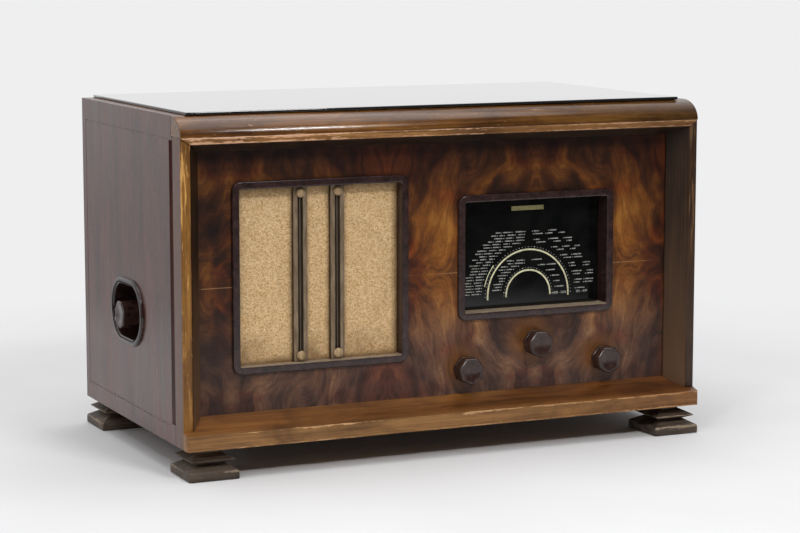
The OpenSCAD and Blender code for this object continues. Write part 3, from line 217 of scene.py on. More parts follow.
def wood(name, shades, axis, gloss, bare=None, edges=(), reach=0.003, wear=0.5, flecks=0.0,
         shift=(0.0, 0.0, 0.0), relief=0.00005, shine=0.5):
    """Straight-grained wood, from its darkest grain to its lightest, worn on edges and in flecks.

    The grain bands are 2.4 mm wide, the broad stripes 17 mm and the pores 0.45 mm, all long on one
    axis. The pores are drawn at least half as wide again as real ones, so that they show. The wear
    is chipped, in lengths of about a hand's width. Soil lies in patches of about 30 mm.
    """
    darkest_at, spread = 0.35, 0.30
    edge_share, hand_share = 0.35, 0.6
    chip_level, chip_drop, chip_width = 1.32, 0.25, 0.04
    fleck_level, fleck_drop, fleck_width = 0.70, 0.08, 0.05
    gloss_swing = 0.12
    material, tree, shader, place = start(name)
    bands = add(tree, "Mapping", {"Vector": place, "Location": shift,
                                  "Scale": cells(*along(axis, 120, 2.4))})
    bands = add(tree, "TexNoise", {"Vector": bands, "Scale": 1, "Detail": 5, "Roughness": 0.62,
                                   "Distortion": 0.5})
    broad = add(tree, "Mapping", {"Vector": place, "Location": shift,
                                  "Scale": cells(*along(axis, 300, 17))})
    broad = add(tree, "TexNoise", {"Vector": broad, "Scale": 1, "Detail": 3, "Distortion": 0.4})
    pores = add(tree, "Mapping", {"Vector": place, "Scale": cells(*along(axis, 7, 0.45))})
    pores = add(tree, "TexNoise", {"Vector": pores, "Scale": 1, "Detail": 1})
    value = add(tree, "Mix", [0.45, bands, broad])
    step = spread / (len(shades) - 1)
    stops = [(darkest_at + step * index, code) for index, code in enumerate(shades)]
    colour = add(tree, "ValToRGB", [value], stops)
    pits = add(tree, "ValToRGB", [pores], [(0.62, 0.0), (0.70, 0.5)])
    colour = add(tree, "Mix", [pits, colour, linear(shades[0])], data_type="RGBA")
    soil = add(tree, "Mapping", {"Vector": place, "Location": shift,
                                 "Scale": cells(*along(axis, 80, 30))})
    soil = add(tree, "TexNoise", {"Vector": soil, "Scale": 1, "Detail": 5, "Roughness": 0.6,
                                  "Distortion": 0.6})
    soil = add(tree, "ValToRGB", [soil], [(0.42, 0.0), (0.66, 0.75)])
    soiled = add(tree, "Mix", [1.0, colour, linear("#8f8274")], data_type="RGBA", blend_type="MULTIPLY")
    colour = add(tree, "Mix", [soil, colour, soiled], data_type="RGBA")
    if bare:
        rubbed = add(tree, "Mapping", {"Vector": place, "Location": shift,
                                       "Scale": cells(*along(axis, 13, 2.6))})
        rubbed = add(tree, "TexNoise", {"Vector": rubbed, "Scale": 1, "Detail": 6, "Roughness": 0.7,
                                        "Distortion": 0.8})
        handled = add(tree, "Mapping", {"Vector": place, "Location": shift, "Scale": cells(90, 90, 90)})
        handled = add(tree, "TexNoise", {"Vector": handled, "Scale": 1, "Detail": 1})
        near = edge_wear(tree, place, edges, reach) if edges else 0.0
        worn = add(tree, "Math", [near, edge_share, rubbed], operation="MULTIPLY_ADD")
        worn = add(tree, "Math", [handled, hand_share, worn], operation="MULTIPLY_ADD")
        # The sum passes 1, where a ramp ends, so the sum and its level are halved
        chips_at = (chip_level - chip_drop * wear) / 2
        worn = add(tree, "Math", [worn, 0.5], operation="MULTIPLY")
        worn = add(tree, "ValToRGB", [worn], [(chips_at, 0.0), (chips_at + chip_width, 0.9)])
        flecks_at = fleck_level - fleck_drop * flecks
        spots = add(tree, "ValToRGB", [rubbed], [(flecks_at, 0.0), (flecks_at + fleck_width, flecks)])
        worn = add(tree, "Math", [worn, spots], operation="MAXIMUM")
        colour = add(tree, "Mix", [worn, colour, linear(bare)], data_type="RGBA")
    rough = add(tree, "MapRange", {"Value": broad, "To Min": gloss - gloss_swing,
                                   "To Max": gloss + gloss_swing})
    lie = add(tree, "Bump", {"Height": add(tree, "Math", [bands, pits], operation="SUBTRACT"),
                             "Distance": relief})
    connect(tree, shader, {"Base Color": colour, "Roughness": rough, "Normal": lie,
                           "Specular IOR Level": shine})
    return material


def stain_over(material, colour_of):
    """Paints over a material's colour: colour_of takes its tree, coordinates and colour."""
    tree = material.node_tree
    shader = tree.nodes["Principled BSDF"]
    under = shader.inputs["Base Color"].links[0].from_socket
    place = add(tree, "TexCoord", out="Object")
    connect(tree, shader, {"Base Color": colour_of(tree, place, under)})
    return material


def painted_shade_right(tree, place, under, tint, share):
    """Painted shade: darkens a long moulding's colour from near the case's middle towards its right end,
    where less light falls.
    """
    begins = -50 * MM
    across = add(tree, "SeparateXYZ", [place], out="X")
    right = add(tree, "MapRange", {"Value": across, "From Min": begins, "From Max": CASE_HIGH.x,
                                   "To Max": share})
    dark = add(tree, "Mix", [1.0, under, linear(tint)], data_type="RGBA", blend_type="MULTIPLY")
    return add(tree, "Mix", [right, under, dark], data_type="RGBA")


# Woods


def stained_side_wood():
    """Stained beech veneer, brushed satin: a broad sheen over faint upright grain, with small dents."""
    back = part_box("side_left")[1].y
    edges = [("Y", (x, 0, z)) for x in (CASE_LOW.x, CASE_HIGH.x) for z in (CASE_LOW.z, CASE_HIGH.z)]
    edges += [("Z", (x, back, 0)) for x in (CASE_LOW.x, CASE_HIGH.x)]

    def dents(tree, place, under):
        spots = add(tree, "Mapping", {"Vector": place, "Scale": cells(4, 4, 9)})
        spots = add(tree, "TexNoise", {"Vector": spots, "Scale": 1, "Detail": 2})
        spots = add(tree, "ValToRGB", [spots], [(0.70, 0.0), (0.75, 0.45)])
        return add(tree, "Mix", [spots, under, linear("#34231f")], data_type="RGBA")

    return stain_over(wood("stained_side_wood", ["#44201a", "#532b22", "#60352a"], "Z", gloss=0.27,
                           bare="#8f7460", edges=edges, reach=0.0016, wear=0.3, relief=0.00001,
                           shine=0.58), dents)


def roll_wood():
    """The roll's stained hardwood, lacquered: a long soft shine over fine grain, with a few rubs, and
    painted shade towards its right end.
    """
    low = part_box("top_roll")[0]

    def shaded_end(tree, place, under):
        # Painted shade, deeper towards the right end
        return painted_shade_right(tree, place, under, "#b9c4cf", 1.0)

    return stain_over(wood("roll_moulding_wood", ["#42260e", "#74481c", "#95652c"], "X", gloss=0.19,
                           bare="#b98d64", edges=[("X", (0, low.y, low.z))], reach=0.003, wear=0.6,
                           flecks=0.8, relief=0.00003), shaded_end)


def lip_wood():
    """The lip's stained hardwood, rubbed pink and bare along both edges, where hands lift the case, with
    painted shade towards its right end.
    """
    low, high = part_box("lip_strip")
    edges = [("X", (0, low.y, low.z)), ("X", (0, low.y, high.z))]

    def shaded_end(tree, place, under):
        # Painted shade, deeper towards the right end
        return painted_shade_right(tree, place, under, "#c0b8ac", 1.0)

    return stain_over(wood("lip_wood", ["#714b25", "#a67644", "#c19563"], "X", gloss=0.4,
                           bare="#dcab85", edges=edges, reach=0.004, wear=1.1, flecks=0.9,
                           shine=0.4), shaded_end)


def sill_wood():
    """Stained hardwood sill, rubbed bare along its front arris, with painted shade that darkens its top
    behind the paler front edge, and its right end.
    """
    front_height, turn = 14.2 * MM, 1.5 * MM
    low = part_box("sill")[0]
    arris = low.z + front_height

    def shaded_top(tree, place, under):
        # Painted shade on the top, which lies in the shadowed recess in front of the panel, and towards the
        # right end
        height = add(tree, "SeparateXYZ", [place], out="Z")
        deep = add(tree, "MapRange", {"Value": height, "From Min": arris, "From Max": arris + turn})
        dark = add(tree, "Mix", [1.0, under, linear("#dcc8b2")], data_type="RGBA", blend_type="MULTIPLY")
        colour = add(tree, "Mix", [deep, under, dark], data_type="RGBA")
        return painted_shade_right(tree, place, colour, "#ccb7a2", 0.8)

    return stain_over(wood("sill_wood", ["#684624", "#936739", "#ae8149"], "X", gloss=0.42,
                           bare="#d8aa78", edges=[("X", (0, low.y, arris)), ("X", (0, low.y, low.z))],
                           reach=0.0035, wear=0.9, flecks=0.4, shine=0.4), shaded_top)


def post_wood(node, shades, bare, wear):
    """A post's hardwood: its front is worn golden, its outer face is stained as the sides are."""
    low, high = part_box(node)
    wander = 2.4 * MM

    def stained_behind(tree, place, under):
        wavy = add(tree, "Mapping", {"Vector": place, "Scale": cells(2, 2, 20)})
        wavy = add(tree, "TexNoise", {"Vector": wavy, "Scale": 1, "Detail": 3})
        depth = add(tree, "SeparateXYZ", [place], out="Y")
        behind = add(tree, "Math", [wavy, -wander, depth], operation="MULTIPLY_ADD")
        behind = add(tree, "Math", [behind, low.y], operation="GREATER_THAN")
        stain = add(tree, "Mix", [wavy, linear("#553f38"), linear("#765c50")], data_type="RGBA")
        # Long rubbed streaks, more of them towards the top
        rub = add(tree, "Mapping", {"Vector": place, "Location": (low.x, 0, 0), "Scale": cells(3, 3, 45)})
        rub = add(tree, "TexNoise", {"Vector": rub, "Scale": 1, "Detail": 4, "Roughness": 0.6})
        rise = add(tree, "MapRange", {"Value": add(tree, "SeparateXYZ", [place], out="Z"),
                                      "From Min": low.z, "From Max": high.z, "To Max": 0.12})
        rub = add(tree, "Math", [rub, rise])
        rub = add(tree, "ValToRGB", [rub], [(0.645, 0.0), (0.70, wear)])
        rubbed = add(tree, "Mix", [rub, under, linear(bare)], data_type="RGBA")
        return add(tree, "Mix", [behind, rubbed, stain], data_type="RGBA")

    edges = [("Z", (low.x, low.y, 0)), ("Z", (high.x, low.y, 0))]
    return stain_over(wood(node + "_wood", shades, "Z", gloss=0.42, bare=bare, edges=edges, reach=0.003,
                           wear=wear, flecks=wear, shift=(low.x, 0, 0), shine=0.35), stained_behind)


def dark_bevel_wood():
    """Dark-stained hardwood of the bevelled strips, brushed lacquer: near black, with painted light that
    browns the foot and the right strip.
    """
    brown_height = 160 * MM
    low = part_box("splay_right")[0]

    def painted_light_low(tree, place, under):
        """Painted light: brown at the foot that fades out upwards into the lip's shade, and the right
        strip, which faces the light, a touch lighter all the way up.
        """
        height = add(tree, "SeparateXYZ", [place], out="Z")
        rise = add(tree, "MapRange", {"Value": height, "From Min": low.z, "From Max": low.z + brown_height,
                                      "To Min": 0.75, "To Max": 0.0})
        across = add(tree, "SeparateXYZ", [place], out="X")
        right = add(tree, "Math", [across, low.x - MM], operation="GREATER_THAN")
        lit_right = add(tree, "Mix", [1.0, under, linear("#f2d0b4")], data_type="RGBA", blend_type="SCREEN")
        lit_right = add(tree, "Mix", [0.01, under, lit_right], data_type="RGBA")
        under = add(tree, "Mix", [right, under, lit_right], data_type="RGBA")
        return add(tree, "Mix", [rise, under, linear("#70523a")], data_type="RGBA")

    return stain_over(wood("dark_bevel_wood", ["#190e07", "#2e1d10", "#463019"], "Z", gloss=0.4,
                           bare="#7d5c40", edges=[("Z", (low.x, PANEL_Y, 0))], reach=0.002, wear=0.3,
                           flecks=0.2, shine=0.25), painted_light_low)


def figured_walnut():
    """Book-matched walnut veneer, shellac: flame figure in arches mirrored about the dial and a joint."""
    material, tree, shader, place = start("figured_walnut")
    dial = middle("dial_glass")
    panel_low, panel_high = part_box("front_panel")
    joint_z = panel_low.z + 136.5 * MM
    leaf = chosen("radio_case").leaf
    crown, steepness, wander, ragged = 28 * MM, 2.1, 0.17, 30 * MM
    x, z = (add(tree, "SeparateXYZ", [place], out=name) for name in "XZ")
    across = add(tree, "Math", [x, dial.x], operation="SUBTRACT")
    across = add(tree, "Math", [across, leaf], operation="PINGPONG")
    rise = add(tree, "Math", [z, joint_z], operation="SUBTRACT")
    height = add(tree, "Math", [rise], operation="ABSOLUTE")
    folded = add(tree, "CombineXYZ", {"X": across, "Z": height})
    swirl = add(tree, "Mapping", {"Vector": folded, "Scale": cells(62, 62, 80)})
    swirl = add(tree, "TexNoise", {"Vector": swirl, "Scale": 1, "Detail": 2, "Distortion": 0.3})
    # Arches stand on the dial's centre line and fall away at about 65 degrees on either side
    square = add(tree, "Math", [across, across, crown ** 2], operation="MULTIPLY_ADD")
    arch = add(tree, "Math", [square, 0.5], operation="POWER")
    arch = add(tree, "Math", [arch, steepness, height], operation="MULTIPLY_ADD")
    arch = add(tree, "Math", [swirl, wander, arch], operation="MULTIPLY_ADD")
    figure = add(tree, "CombineXYZ", {"X": arch, "Y": rise, "Z": across})
    # Cells of 34, 9 and 1.8 mm: flames 17 mm wide, streaks 4.5 mm and fibres 0.9 mm, along the arches
    flame = add(tree, "Mapping", {"Vector": figure, "Scale": cells(34, 190, 60)})
    flame = add(tree, "TexNoise", {"Vector": flame, "Scale": 1, "Detail": 3, "Roughness": 0.55,
                                   "Distortion": 0.25})
    streak = add(tree, "Mapping", {"Vector": figure, "Scale": cells(9, 60, 30)})
    streak = add(tree, "TexNoise", {"Vector": streak, "Scale": 1, "Detail": 2, "Roughness": 0.5})
    fibre = add(tree, "Mapping", {"Vector": figure, "Scale": cells(1.8, 9, 9)})
    fibre = add(tree, "TexNoise", {"Vector": fibre, "Scale": 1, "Detail": 2})
    cloud = add(tree, "Mapping", {"Vector": folded, "Scale": cells(26, 26, 40),
                                  "Location": (0.9, 0.3, 0.2)})
    cloud = add(tree, "TexNoise", {"Vector": cloud, "Scale": 1, "Detail": 4, "Roughness": 0.6,
                                   "Distortion": 0.4})
    value = add(tree, "Mix", [0.52, flame, cloud])
    value = add(tree, "Mix", [0.14, value, streak])
    value = add(tree, "Mix", [0.08, value, fibre])
    # Light heartwood lies beside the dial in every leaf; along the top the wood is darker, partly its stain
    # and partly painted shade under the lip. Each patch has its distance from the dial's centre line and
    # from the joint, and its radius, all in mm.
    full = 20 * MM
    for middle_x, middle_z, radius, lift in ((112, 22, 77, 0.07), (24, 96, 61, 0.01), (70, 128, 55, -0.05)):
        away = add(tree, "VectorMath", [folded, (middle_x * MM, 0, middle_z * MM)], operation="DISTANCE",
                   out="Value")
        away = add(tree, "Math", [swirl, ragged, away], operation="MULTIPLY_ADD")
        light = add(tree, "MapRange", {"Value": away, "From Min": radius * MM, "From Max": full,
                                       "To Max": lift}, interpolation_type="SMOOTHSTEP")
        value = add(tree, "Math", [value, light])
    # Dark growth lines follow the arches, and fade in and out
    contours = 8
    veins = add(tree, "Mapping", {"Vector": figure, "Scale": cells(26, 210, 70),
                                  "Location": (0.2, 0.6, 0.4)})
    veins = add(tree, "TexNoise", {"Vector": veins, "Scale": 1, "Detail": 2, "Distortion": 0.3})
    veins = add(tree, "Math", [veins, contours], operation="MULTIPLY")
    veins = add(tree, "Math", [veins, 1.0], operation="PINGPONG")
    veins = add(tree, "ValToRGB", [veins], [(0.0, 1.0), (0.16, 0.0)])
    strong = add(tree, "ValToRGB", [cloud], [(0.42, 0.5), (0.58, 0.05)])
    veins = add(tree, "Math", [veins, strong], operation="MULTIPLY")
    upper = add(tree, "ValToRGB", [value], [(0.37, "#1f0e06"), (0.45, "#43230e"), (0.515, "#683a15"),
                                            (0.58, "#8b541d"), (0.66, "#ae7430")])
    lower = add(tree, "ValToRGB", [value], [(0.37, "#2d1d18"), (0.46, "#4a332a"), (0.53, "#654738"),
                                            (0.59, "#7a5a45"), (0.67, "#947053")])
    # Below the joint the finish has faded to a greyer brown
    faded = add(tree, "MapRange", {"Value": rise, "From Min": -12 * MM, "From Max": -75 * MM,
                                   "To Min": 0.0, "To Max": 0.9})
    colour = add(tree, "Mix", [faded, upper, lower], data_type="RGBA")
    colour = add(tree, "Mix", [veins, colour, linear("#1c0f08")], data_type="RGBA")
    # Redder patches, where a leaf took more stain
    red = add(tree, "Mapping", {"Vector": folded, "Scale": cells(48, 48, 36),
                                "Location": (0.4, 0.7, 0.1)})
    red = add(tree, "TexNoise", {"Vector": red, "Scale": 1, "Detail": 3, "Distortion": 0.5})
    red = add(tree, "ValToRGB", [red], [(0.50, 0.0), (0.66, 0.6)])
    redder = add(tree, "Mix", [1.0, colour, linear("#e08868")], data_type="RGBA", blend_type="MULTIPLY")
    colour = add(tree, "Mix", [red, colour, redder], data_type="RGBA")
    # Painted shade, with some dark stain, darkens both ends beside the posts and the top under the lip:
    # where it begins, where it is full, its share
    dark = 0.0
    for axis, begins, full, share in ((x, panel_low.x + 85 * MM, panel_low.x, 0.75),
                                      (x, panel_high.x - 80 * MM, panel_high.x, 0.6),
                                      (z, panel_high.z - 95 * MM, panel_high.z - 20 * MM, 0.85)):
        side = add(tree, "MapRange", {"Value": axis, "From Min": begins, "From Max": full,
                                      "To Max": share})
        dark = add(tree, "Math", [side, dark], operation="MAXIMUM")
    darker = add(tree, "Mix", [1.0, colour, linear("#76614f")], data_type="RGBA", blend_type="MULTIPLY")
    colour = add(tree, "Mix", [dark, colour, darker], data_type="RGBA")
    # The finish is rubbed through to orange round the three knobs, a little up and to the left
    for node in ("volume_knob", "tuning_knob", "tone_knob"):
        spot = middle(node)
        away = add(tree, "VectorMath", [place, (spot.x - 6 * MM, PANEL_Y, spot.z + 4 * MM)],
                   operation="DISTANCE", out="Value")
        away = add(tree, "Math", [cloud, ragged, away], operation="MULTIPLY_ADD")
        halo = add(tree, "MapRange", {"Value": away, "From Min": 30 * MM, "From Max": 44 * MM,
                                      "To Min": 0.6, "To Max": 0.0})
        rubbed = add(tree, "Mix", [streak, linear("#5b3416"), linear("#94602c")], data_type="RGBA")
        colour = add(tree, "Mix", [halo, colour, rubbed], data_type="RGBA")
    # Pores half a millimetre wide, filled with dark polish
    pores = add(tree, "Mapping", {"Vector": figure, "Scale": cells(0.6, 5, 5)})
    pores = add(tree, "TexNoise", {"Vector": pores, "Scale": 1, "Detail": 2})
    pores = add(tree, "ValToRGB", [pores], [(0.56, 0.0), (0.68, 0.5)])
    colour = add(tree, "Mix", [pores, colour, linear("#1d0f08")], data_type="RGBA")
    # The joint between the leaves shows as a thin pale line in places
    half_joint = 0.4 * MM
    joint = add(tree, "Math", [height, half_joint], operation="LESS_THAN")
    broken = add(tree, "Mapping", {"Vector": place, "Scale": cells(24, 900, 900)})
    broken = add(tree, "TexNoise", {"Vector": broken, "Scale": 1, "Detail": 2})
    broken = add(tree, "ValToRGB", [broken], [(0.40, 0.0), (0.55, 0.6)])
    joint = add(tree, "Math", [joint, broken], operation="MULTIPLY")
    colour = add(tree, "Mix", [joint, colour, linear("#b5875a")], data_type="RGBA")
    rough = add(tree, "MapRange", {"Value": cloud, "To Min": 0.28, "To Max": 0.5})
    lie = add(tree, "Bump", {"Height": add(tree, "Mix", [0.5, streak, fibre]), "Distance": 0.1 * MM})
    connect(tree, shader, {"Base Color": colour, "Roughness": rough, "Normal": lie, "Coat Weight": 0.05,
                           "Coat Roughness": 0.2, "Specular IOR Level": 0.3})
    return material


def case_wood():
    """Plain hardwood inside the case, planed and unfinished: dull brown with open grain."""
    return wood("case_wood", ["#4e3420", "#6e5034", "#8a6a48"], "X", gloss=0.7)


def batten_wood():
    """Planed softwood of the battens and the baffle board: pale and dry, with soft bands."""
    return wood("batten_wood", ["#80603c", "#a4845a", "#bd9e70"], "Z", gloss=0.75)


def weathered_foot_wood():
    """Oil-stained hardwood feet, dry and scuffed: grey brown, with dark open grain and pale edges."""
    slab_height, collar_height, inset = 8 * MM, 18.5 * MM, 2.5 * MM
    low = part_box("feet")[0]
    slab = low.z + slab_height
    collar = low.z + collar_height
    edges = [("X", (0, low.y, slab)), ("X", (0, low.y + inset, collar)), ("Y", (low.x, 0, slab)),
             ("Y", (low.x + inset, 0, collar))]
    return wood("weathered_foot_wood", ["#2b221a", "#544538", "#80705e"], "X", gloss=0.6, bare="#9a866e",
                edges=edges, reach=0.004, wear=0.9, flecks=0.8, relief=0.0002)


# Other materials


def black_top_plate():
    """Black glass plate, polished: a dark mirror with a thin film of dust."""
    material, tree, shader, place = start("black_top_plate")
    film = add(tree, "Mapping", {"Vector": place, "Scale": cells(60, 45, 60)})
    film = add(tree, "TexNoise", {"Vector": film, "Scale": 1, "Detail": 4, "Distortion": 0.4})
    colour = add(tree, "ValToRGB", [film], [(0.35, "#0b0a0a"), (0.75, "#1b1918")])
    specks = add(tree, "Mapping", {"Vector": place, "Scale": cells(1.1, 1.1, 1.1)})
    specks = add(tree, "TexNoise", {"Vector": specks, "Scale": 1, "Detail": 2})
    specks = add(tree, "ValToRGB", [specks], [(0.66, 0.0), (0.74, 0.22)])
    colour = add(tree, "Mix", [specks, colour, linear("#8c877f")], data_type="RGBA")
    rough = add(tree, "MapRange", {"Value": film, "To Min": 0.02, "To Max": 0.1})
    connect(tree, shader, {"Base Color": colour, "Roughness": rough, "IOR": 1.7, "Coat Weight": 1.0,
                           "Coat Roughness": 0.03, "Coat IOR": 1.5})
    return material


def hardboard():
    """Pressed wood-fibre board, brown and dull: fibres about a millimetre long and cloudy patches."""
    material, tree, shader, place = start("hardboard")
    fibres = add(tree, "Mapping", {"Vector": place, "Scale": cells(1.2, 1.2, 0.9)})
    fibres = add(tree, "TexNoise", {"Vector": fibres, "Scale": 1, "Detail": 4, "Roughness": 0.7,
                                    "Distortion": 1.5})
    clouds = add(tree, "Mapping", {"Vector": place, "Scale": cells(70, 70, 50)})
    clouds = add(tree, "TexNoise", {"Vector": clouds, "Scale": 1, "Detail": 3})
    colour = add(tree, "ValToRGB", [add(tree, "Mix", [0.3, fibres, clouds])],
                 [(0.36, "#4a331f"), (0.50, "#664830"), (0.64, "#7e5e41")])
    lie = add(tree, "Bump", {"Height": fibres, "Distance": 0.1 * MM})
    connect(tree, shader, {"Base Color": colour, "Roughness": 0.62, "Normal": lie})
    return material


def moulded_bakelite(name, dark, mid, light, gloss=0.2, dusty=False):
    """Compression-moulded phenolic: soft gloss over a faint mottle, with dust where the mesh says so."""
    material, tree, shader, place = start(name)
    mottle = add(tree, "Mapping", {"Vector": place, "Scale": cells(7, 7, 7)})
    mottle = add(tree, "TexNoise", {"Vector": mottle, "Scale": 1, "Detail": 4, "Roughness": 0.6,
                                    "Distortion": 0.5})
    colour = add(tree, "ValToRGB", [mottle], [(0.36, dark), (0.52, mid), (0.66, light)])
    smudges = add(tree, "Mapping", {"Vector": place, "Scale": cells(35, 35, 35)})
    smudges = add(tree, "TexNoise", {"Vector": smudges, "Scale": 1, "Detail": 1})
    rough = add(tree, "MapRange", {"Value": smudges, "To Min": gloss - 0.06, "To Max": gloss + 0.06})
    if dusty:
        grit = add(tree, "Mapping", {"Vector": place, "Scale": cells(5, 5, 5)})
        grit = add(tree, "TexNoise", {"Vector": grit, "Scale": 1, "Detail": 3})
        settled = add(tree, "Attribute", attribute_name="dust", out="Fac")
        settled = add(tree, "Math", [settled, add(tree, "ValToRGB", [grit], [(0.3, 0.5), (0.6, 0.95)])],
                      operation="MULTIPLY")
        colour = add(tree, "Mix", [settled, colour, linear("#a8957c")], data_type="RGBA")
        rough = add(tree, "Math", [settled, 0.4, rough], operation="MULTIPLY_ADD")
    lie = add(tree, "Bump", {"Height": smudges, "Distance": 0.05 * MM})
    connect(tree, shader, {"Base Color": colour, "Roughness": rough, "Normal": lie})
    return material


def woven_cloth():
    """Plain-woven cotton with slubs, aged beige: light knots over dark gaps, stained and dusty, with
    painted shade along its edges and beside the bars.

    The threads are 1.3 mm apart, nearly twice the real pitch, so that the weave shows.
    """
    grille = chosen("radio_grille")
    material, tree, shader, place = start("woven_cloth")
    centre = middle("grille_cloth")
    low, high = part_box("grille_cloth")
    ring_right, ring_down, ring_edge = 21 * MM, 6 * MM, 5 * MM
    half_bar, bar_shadow = 7.15 * MM, 4 * MM
    pitch = grille.thread / MM
    slubs = add(tree, "Mapping", {"Vector": place, "Scale": cells(pitch * 4, pitch * 4, pitch * 1.5)})
    slubs = add(tree, "TexNoise", {"Vector": slubs, "Scale": 1, "Detail": 2})
    x, z = (add(tree, "SeparateXYZ", [place], out=name) for name in "XZ")
    turns = 2 * math.pi / grille.thread
    waves = []
    for axis in (x, z):
        shifted = add(tree, "Math", [slubs, grille.thread * 3, axis], operation="MULTIPLY_ADD")
        turned = add(tree, "Math", [shifted, turns], operation="MULTIPLY")
        waves.append(add(tree, "Math", [turned], operation="SINE"))
    weave = add(tree, "Math", waves, operation="MULTIPLY")
    weave = add(tree, "MapRange", {"Value": weave, "From Min": -1.0, "From Max": 1.0})
    knots = add(tree, "Mapping", {"Vector": place, "Scale": cells(pitch * 1.5, pitch * 1.5, pitch)})
    knots = add(tree, "TexNoise", {"Vector": knots, "Scale": 1, "Detail": 2, "Roughness": 0.7})
    value = add(tree, "Mix", [0.6, weave, knots])
    colour = add(tree, "ValToRGB", [value], [(0.27, "#7a5124"), (0.39, "#c79256"), (0.51, "#f3c98e"),
                                             (0.64, "#fbe5bc")])
    patch = add(tree, "Mapping", {"Vector": place, "Scale": cells(30, 30, 30)})
    patch = add(tree, "TexNoise", {"Vector": patch, "Scale": 1, "Detail": 3})
    # A darker ring in front of the loudspeaker, and brown dust with painted shade along the edges and
    # beside the bars
    away = add(tree, "VectorMath", [place, (centre.x + ring_right, centre.y, centre.z - ring_down)],
               operation="DISTANCE", out="Value")
    away = add(tree, "Math", [patch, 2 * ring_edge, away], operation="MULTIPLY_ADD")
    away = add(tree, "Math", [away, grille.stain + ring_edge], operation="DIVIDE")
    ring = add(tree, "ValToRGB", [away], [(0.80, 0.04), (0.96, 0.10), (1.0, 0.15), (1.06, 0.0)])
    colour = add(tree, "Mix", [ring, colour, linear("#86643c")], data_type="RGBA")
    margins = []
    for axis, mid, half in ((x, centre.x, (high.x - low.x) / 2), (z, centre.z, (high.z - low.z) / 2)):
        off = add(tree, "Math", [axis, mid], operation="SUBTRACT")
        off = add(tree, "Math", [off], operation="ABSOLUTE")
        margins.append(add(tree, "Math", [half, off], operation="SUBTRACT"))
    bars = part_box("grille_bars")
    for bar_x in (bars[0].x + half_bar, bars[1].x - half_bar):
        off = add(tree, "Math", [x, bar_x], operation="SUBTRACT")
        off = add(tree, "Math", [off], operation="ABSOLUTE")
        margins.append(add(tree, "Math", [off, half_bar - bar_shadow], operation="SUBTRACT"))
    margin = margins[0]
    for other in margins[1:]:
        margin = add(tree, "Math", [margin, other], operation="MINIMUM")
    margin = add(tree, "Math", [patch, 8 * MM, margin], operation="MULTIPLY_ADD")
    # Painted shade with dust along the edges and beside the bars, and soil towards the foot
    grime_and_shade = add(tree, "MapRange", {"Value": margin, "From Min": 5 * MM, "From Max": 13 * MM,
                                   "To Min": 0.8, "To Max": 0.0})
    foot = add(tree, "MapRange", {"Value": z, "From Min": low.z + 34 * MM, "From Max": low.z + 4 * MM,
                                  "To Max": 0.8})
    foot = add(tree, "Math", [foot, add(tree, "ValToRGB", [patch], [(0.40, 0.2), (0.60, 1.0)])],
               operation="MULTIPLY")
    grime_and_shade = add(tree, "Math", [grime_and_shade, foot], operation="MAXIMUM")
    colour = add(tree, "Mix", [grime_and_shade, colour, linear("#6b4a26")], data_type="RGBA")
    lie = add(tree, "Bump", {"Height": value, "Distance": 0.4 * MM})
    connect(tree, shader, {"Base Color": colour, "Roughness": 0.95, "Specular IOR Level": 0.15,
                           "Sheen Weight": 0.2, "Normal": lie})
    return material


def aged_brass(name, dark, mid, light, metallic, grimy_shaded_from=None):
    """Lacquered brass gone brown: dull metal under a tobacco-coloured film, drawn lengthwise.

    Behind the depth given along Y, it is black: dirt with painted shade, as in the recessed slot of the
    bars.
    """
    material, tree, shader, place = start(name)
    film = add(tree, "Mapping", {"Vector": place, "Scale": cells(4, 4, 22)})
    film = add(tree, "TexNoise", {"Vector": film, "Scale": 1, "Detail": 4, "Roughness": 0.65})
    colour = add(tree, "ValToRGB", [film], [(0.34, dark), (0.52, mid), (0.68, light)])
    rough = add(tree, "MapRange", {"Value": film, "To Min": 0.34, "To Max": 0.6})
    if grimy_shaded_from is not None:
        depth = add(tree, "SeparateXYZ", [place], out="Y")
        # Dirt with painted shade in the recess behind that depth
        dirt_and_shade = add(tree, "MapRange", {"Value": depth, "From Min": grimy_shaded_from, "From Max": grimy_shaded_from + MM,
                                      "To Max": 0.85})
        colour = add(tree, "Mix", [dirt_and_shade, colour, linear("#1d1610")], data_type="RGBA")
        rough = add(tree, "Math", [dirt_and_shade, 0.4, rough], operation="MULTIPLY_ADD")
    drawn = add(tree, "Mapping", {"Vector": place, "Scale": cells(0.4, 0.4, 30)})
    drawn = add(tree, "TexNoise", {"Vector": drawn, "Scale": 1, "Detail": 2})
    lie = add(tree, "Bump", {"Height": drawn, "Distance": 0.02 * MM})
    connect(tree, shader, {"Base Color": colour, "Metallic": metallic, "Roughness": rough, "Normal": lie})
    return material


def black_dial_glass():
    """Float glass painted black on its back: deep gloss with a little dust."""
    material, tree, shader, place = start("black_dial_glass")
    haze = add(tree, "Mapping", {"Vector": place, "Scale": cells(22, 22, 22)})
    haze = add(tree, "TexNoise", {"Vector": haze, "Scale": 1, "Detail": 4})
    colour = add(tree, "ValToRGB", [haze], [(0.35, "#060707"), (0.7, "#131412")])
    grit = add(tree, "Mapping", {"Vector": place, "Scale": cells(0.8, 0.8, 0.8)})
    grit = add(tree, "TexNoise", {"Vector": grit, "Scale": 1, "Detail": 1})
    grit = add(tree, "ValToRGB", [grit], [(0.72, 0.0), (0.8, 0.25)])
    colour = add(tree, "Mix", [grit, colour, linear("#5e5a50")], data_type="RGBA")
    rough = add(tree, "MapRange", {"Value": haze, "To Min": 0.04, "To Max": 0.16})
    connect(tree, shader, {"Base Color": colour, "Roughness": rough, "IOR": 1.45})
    return material


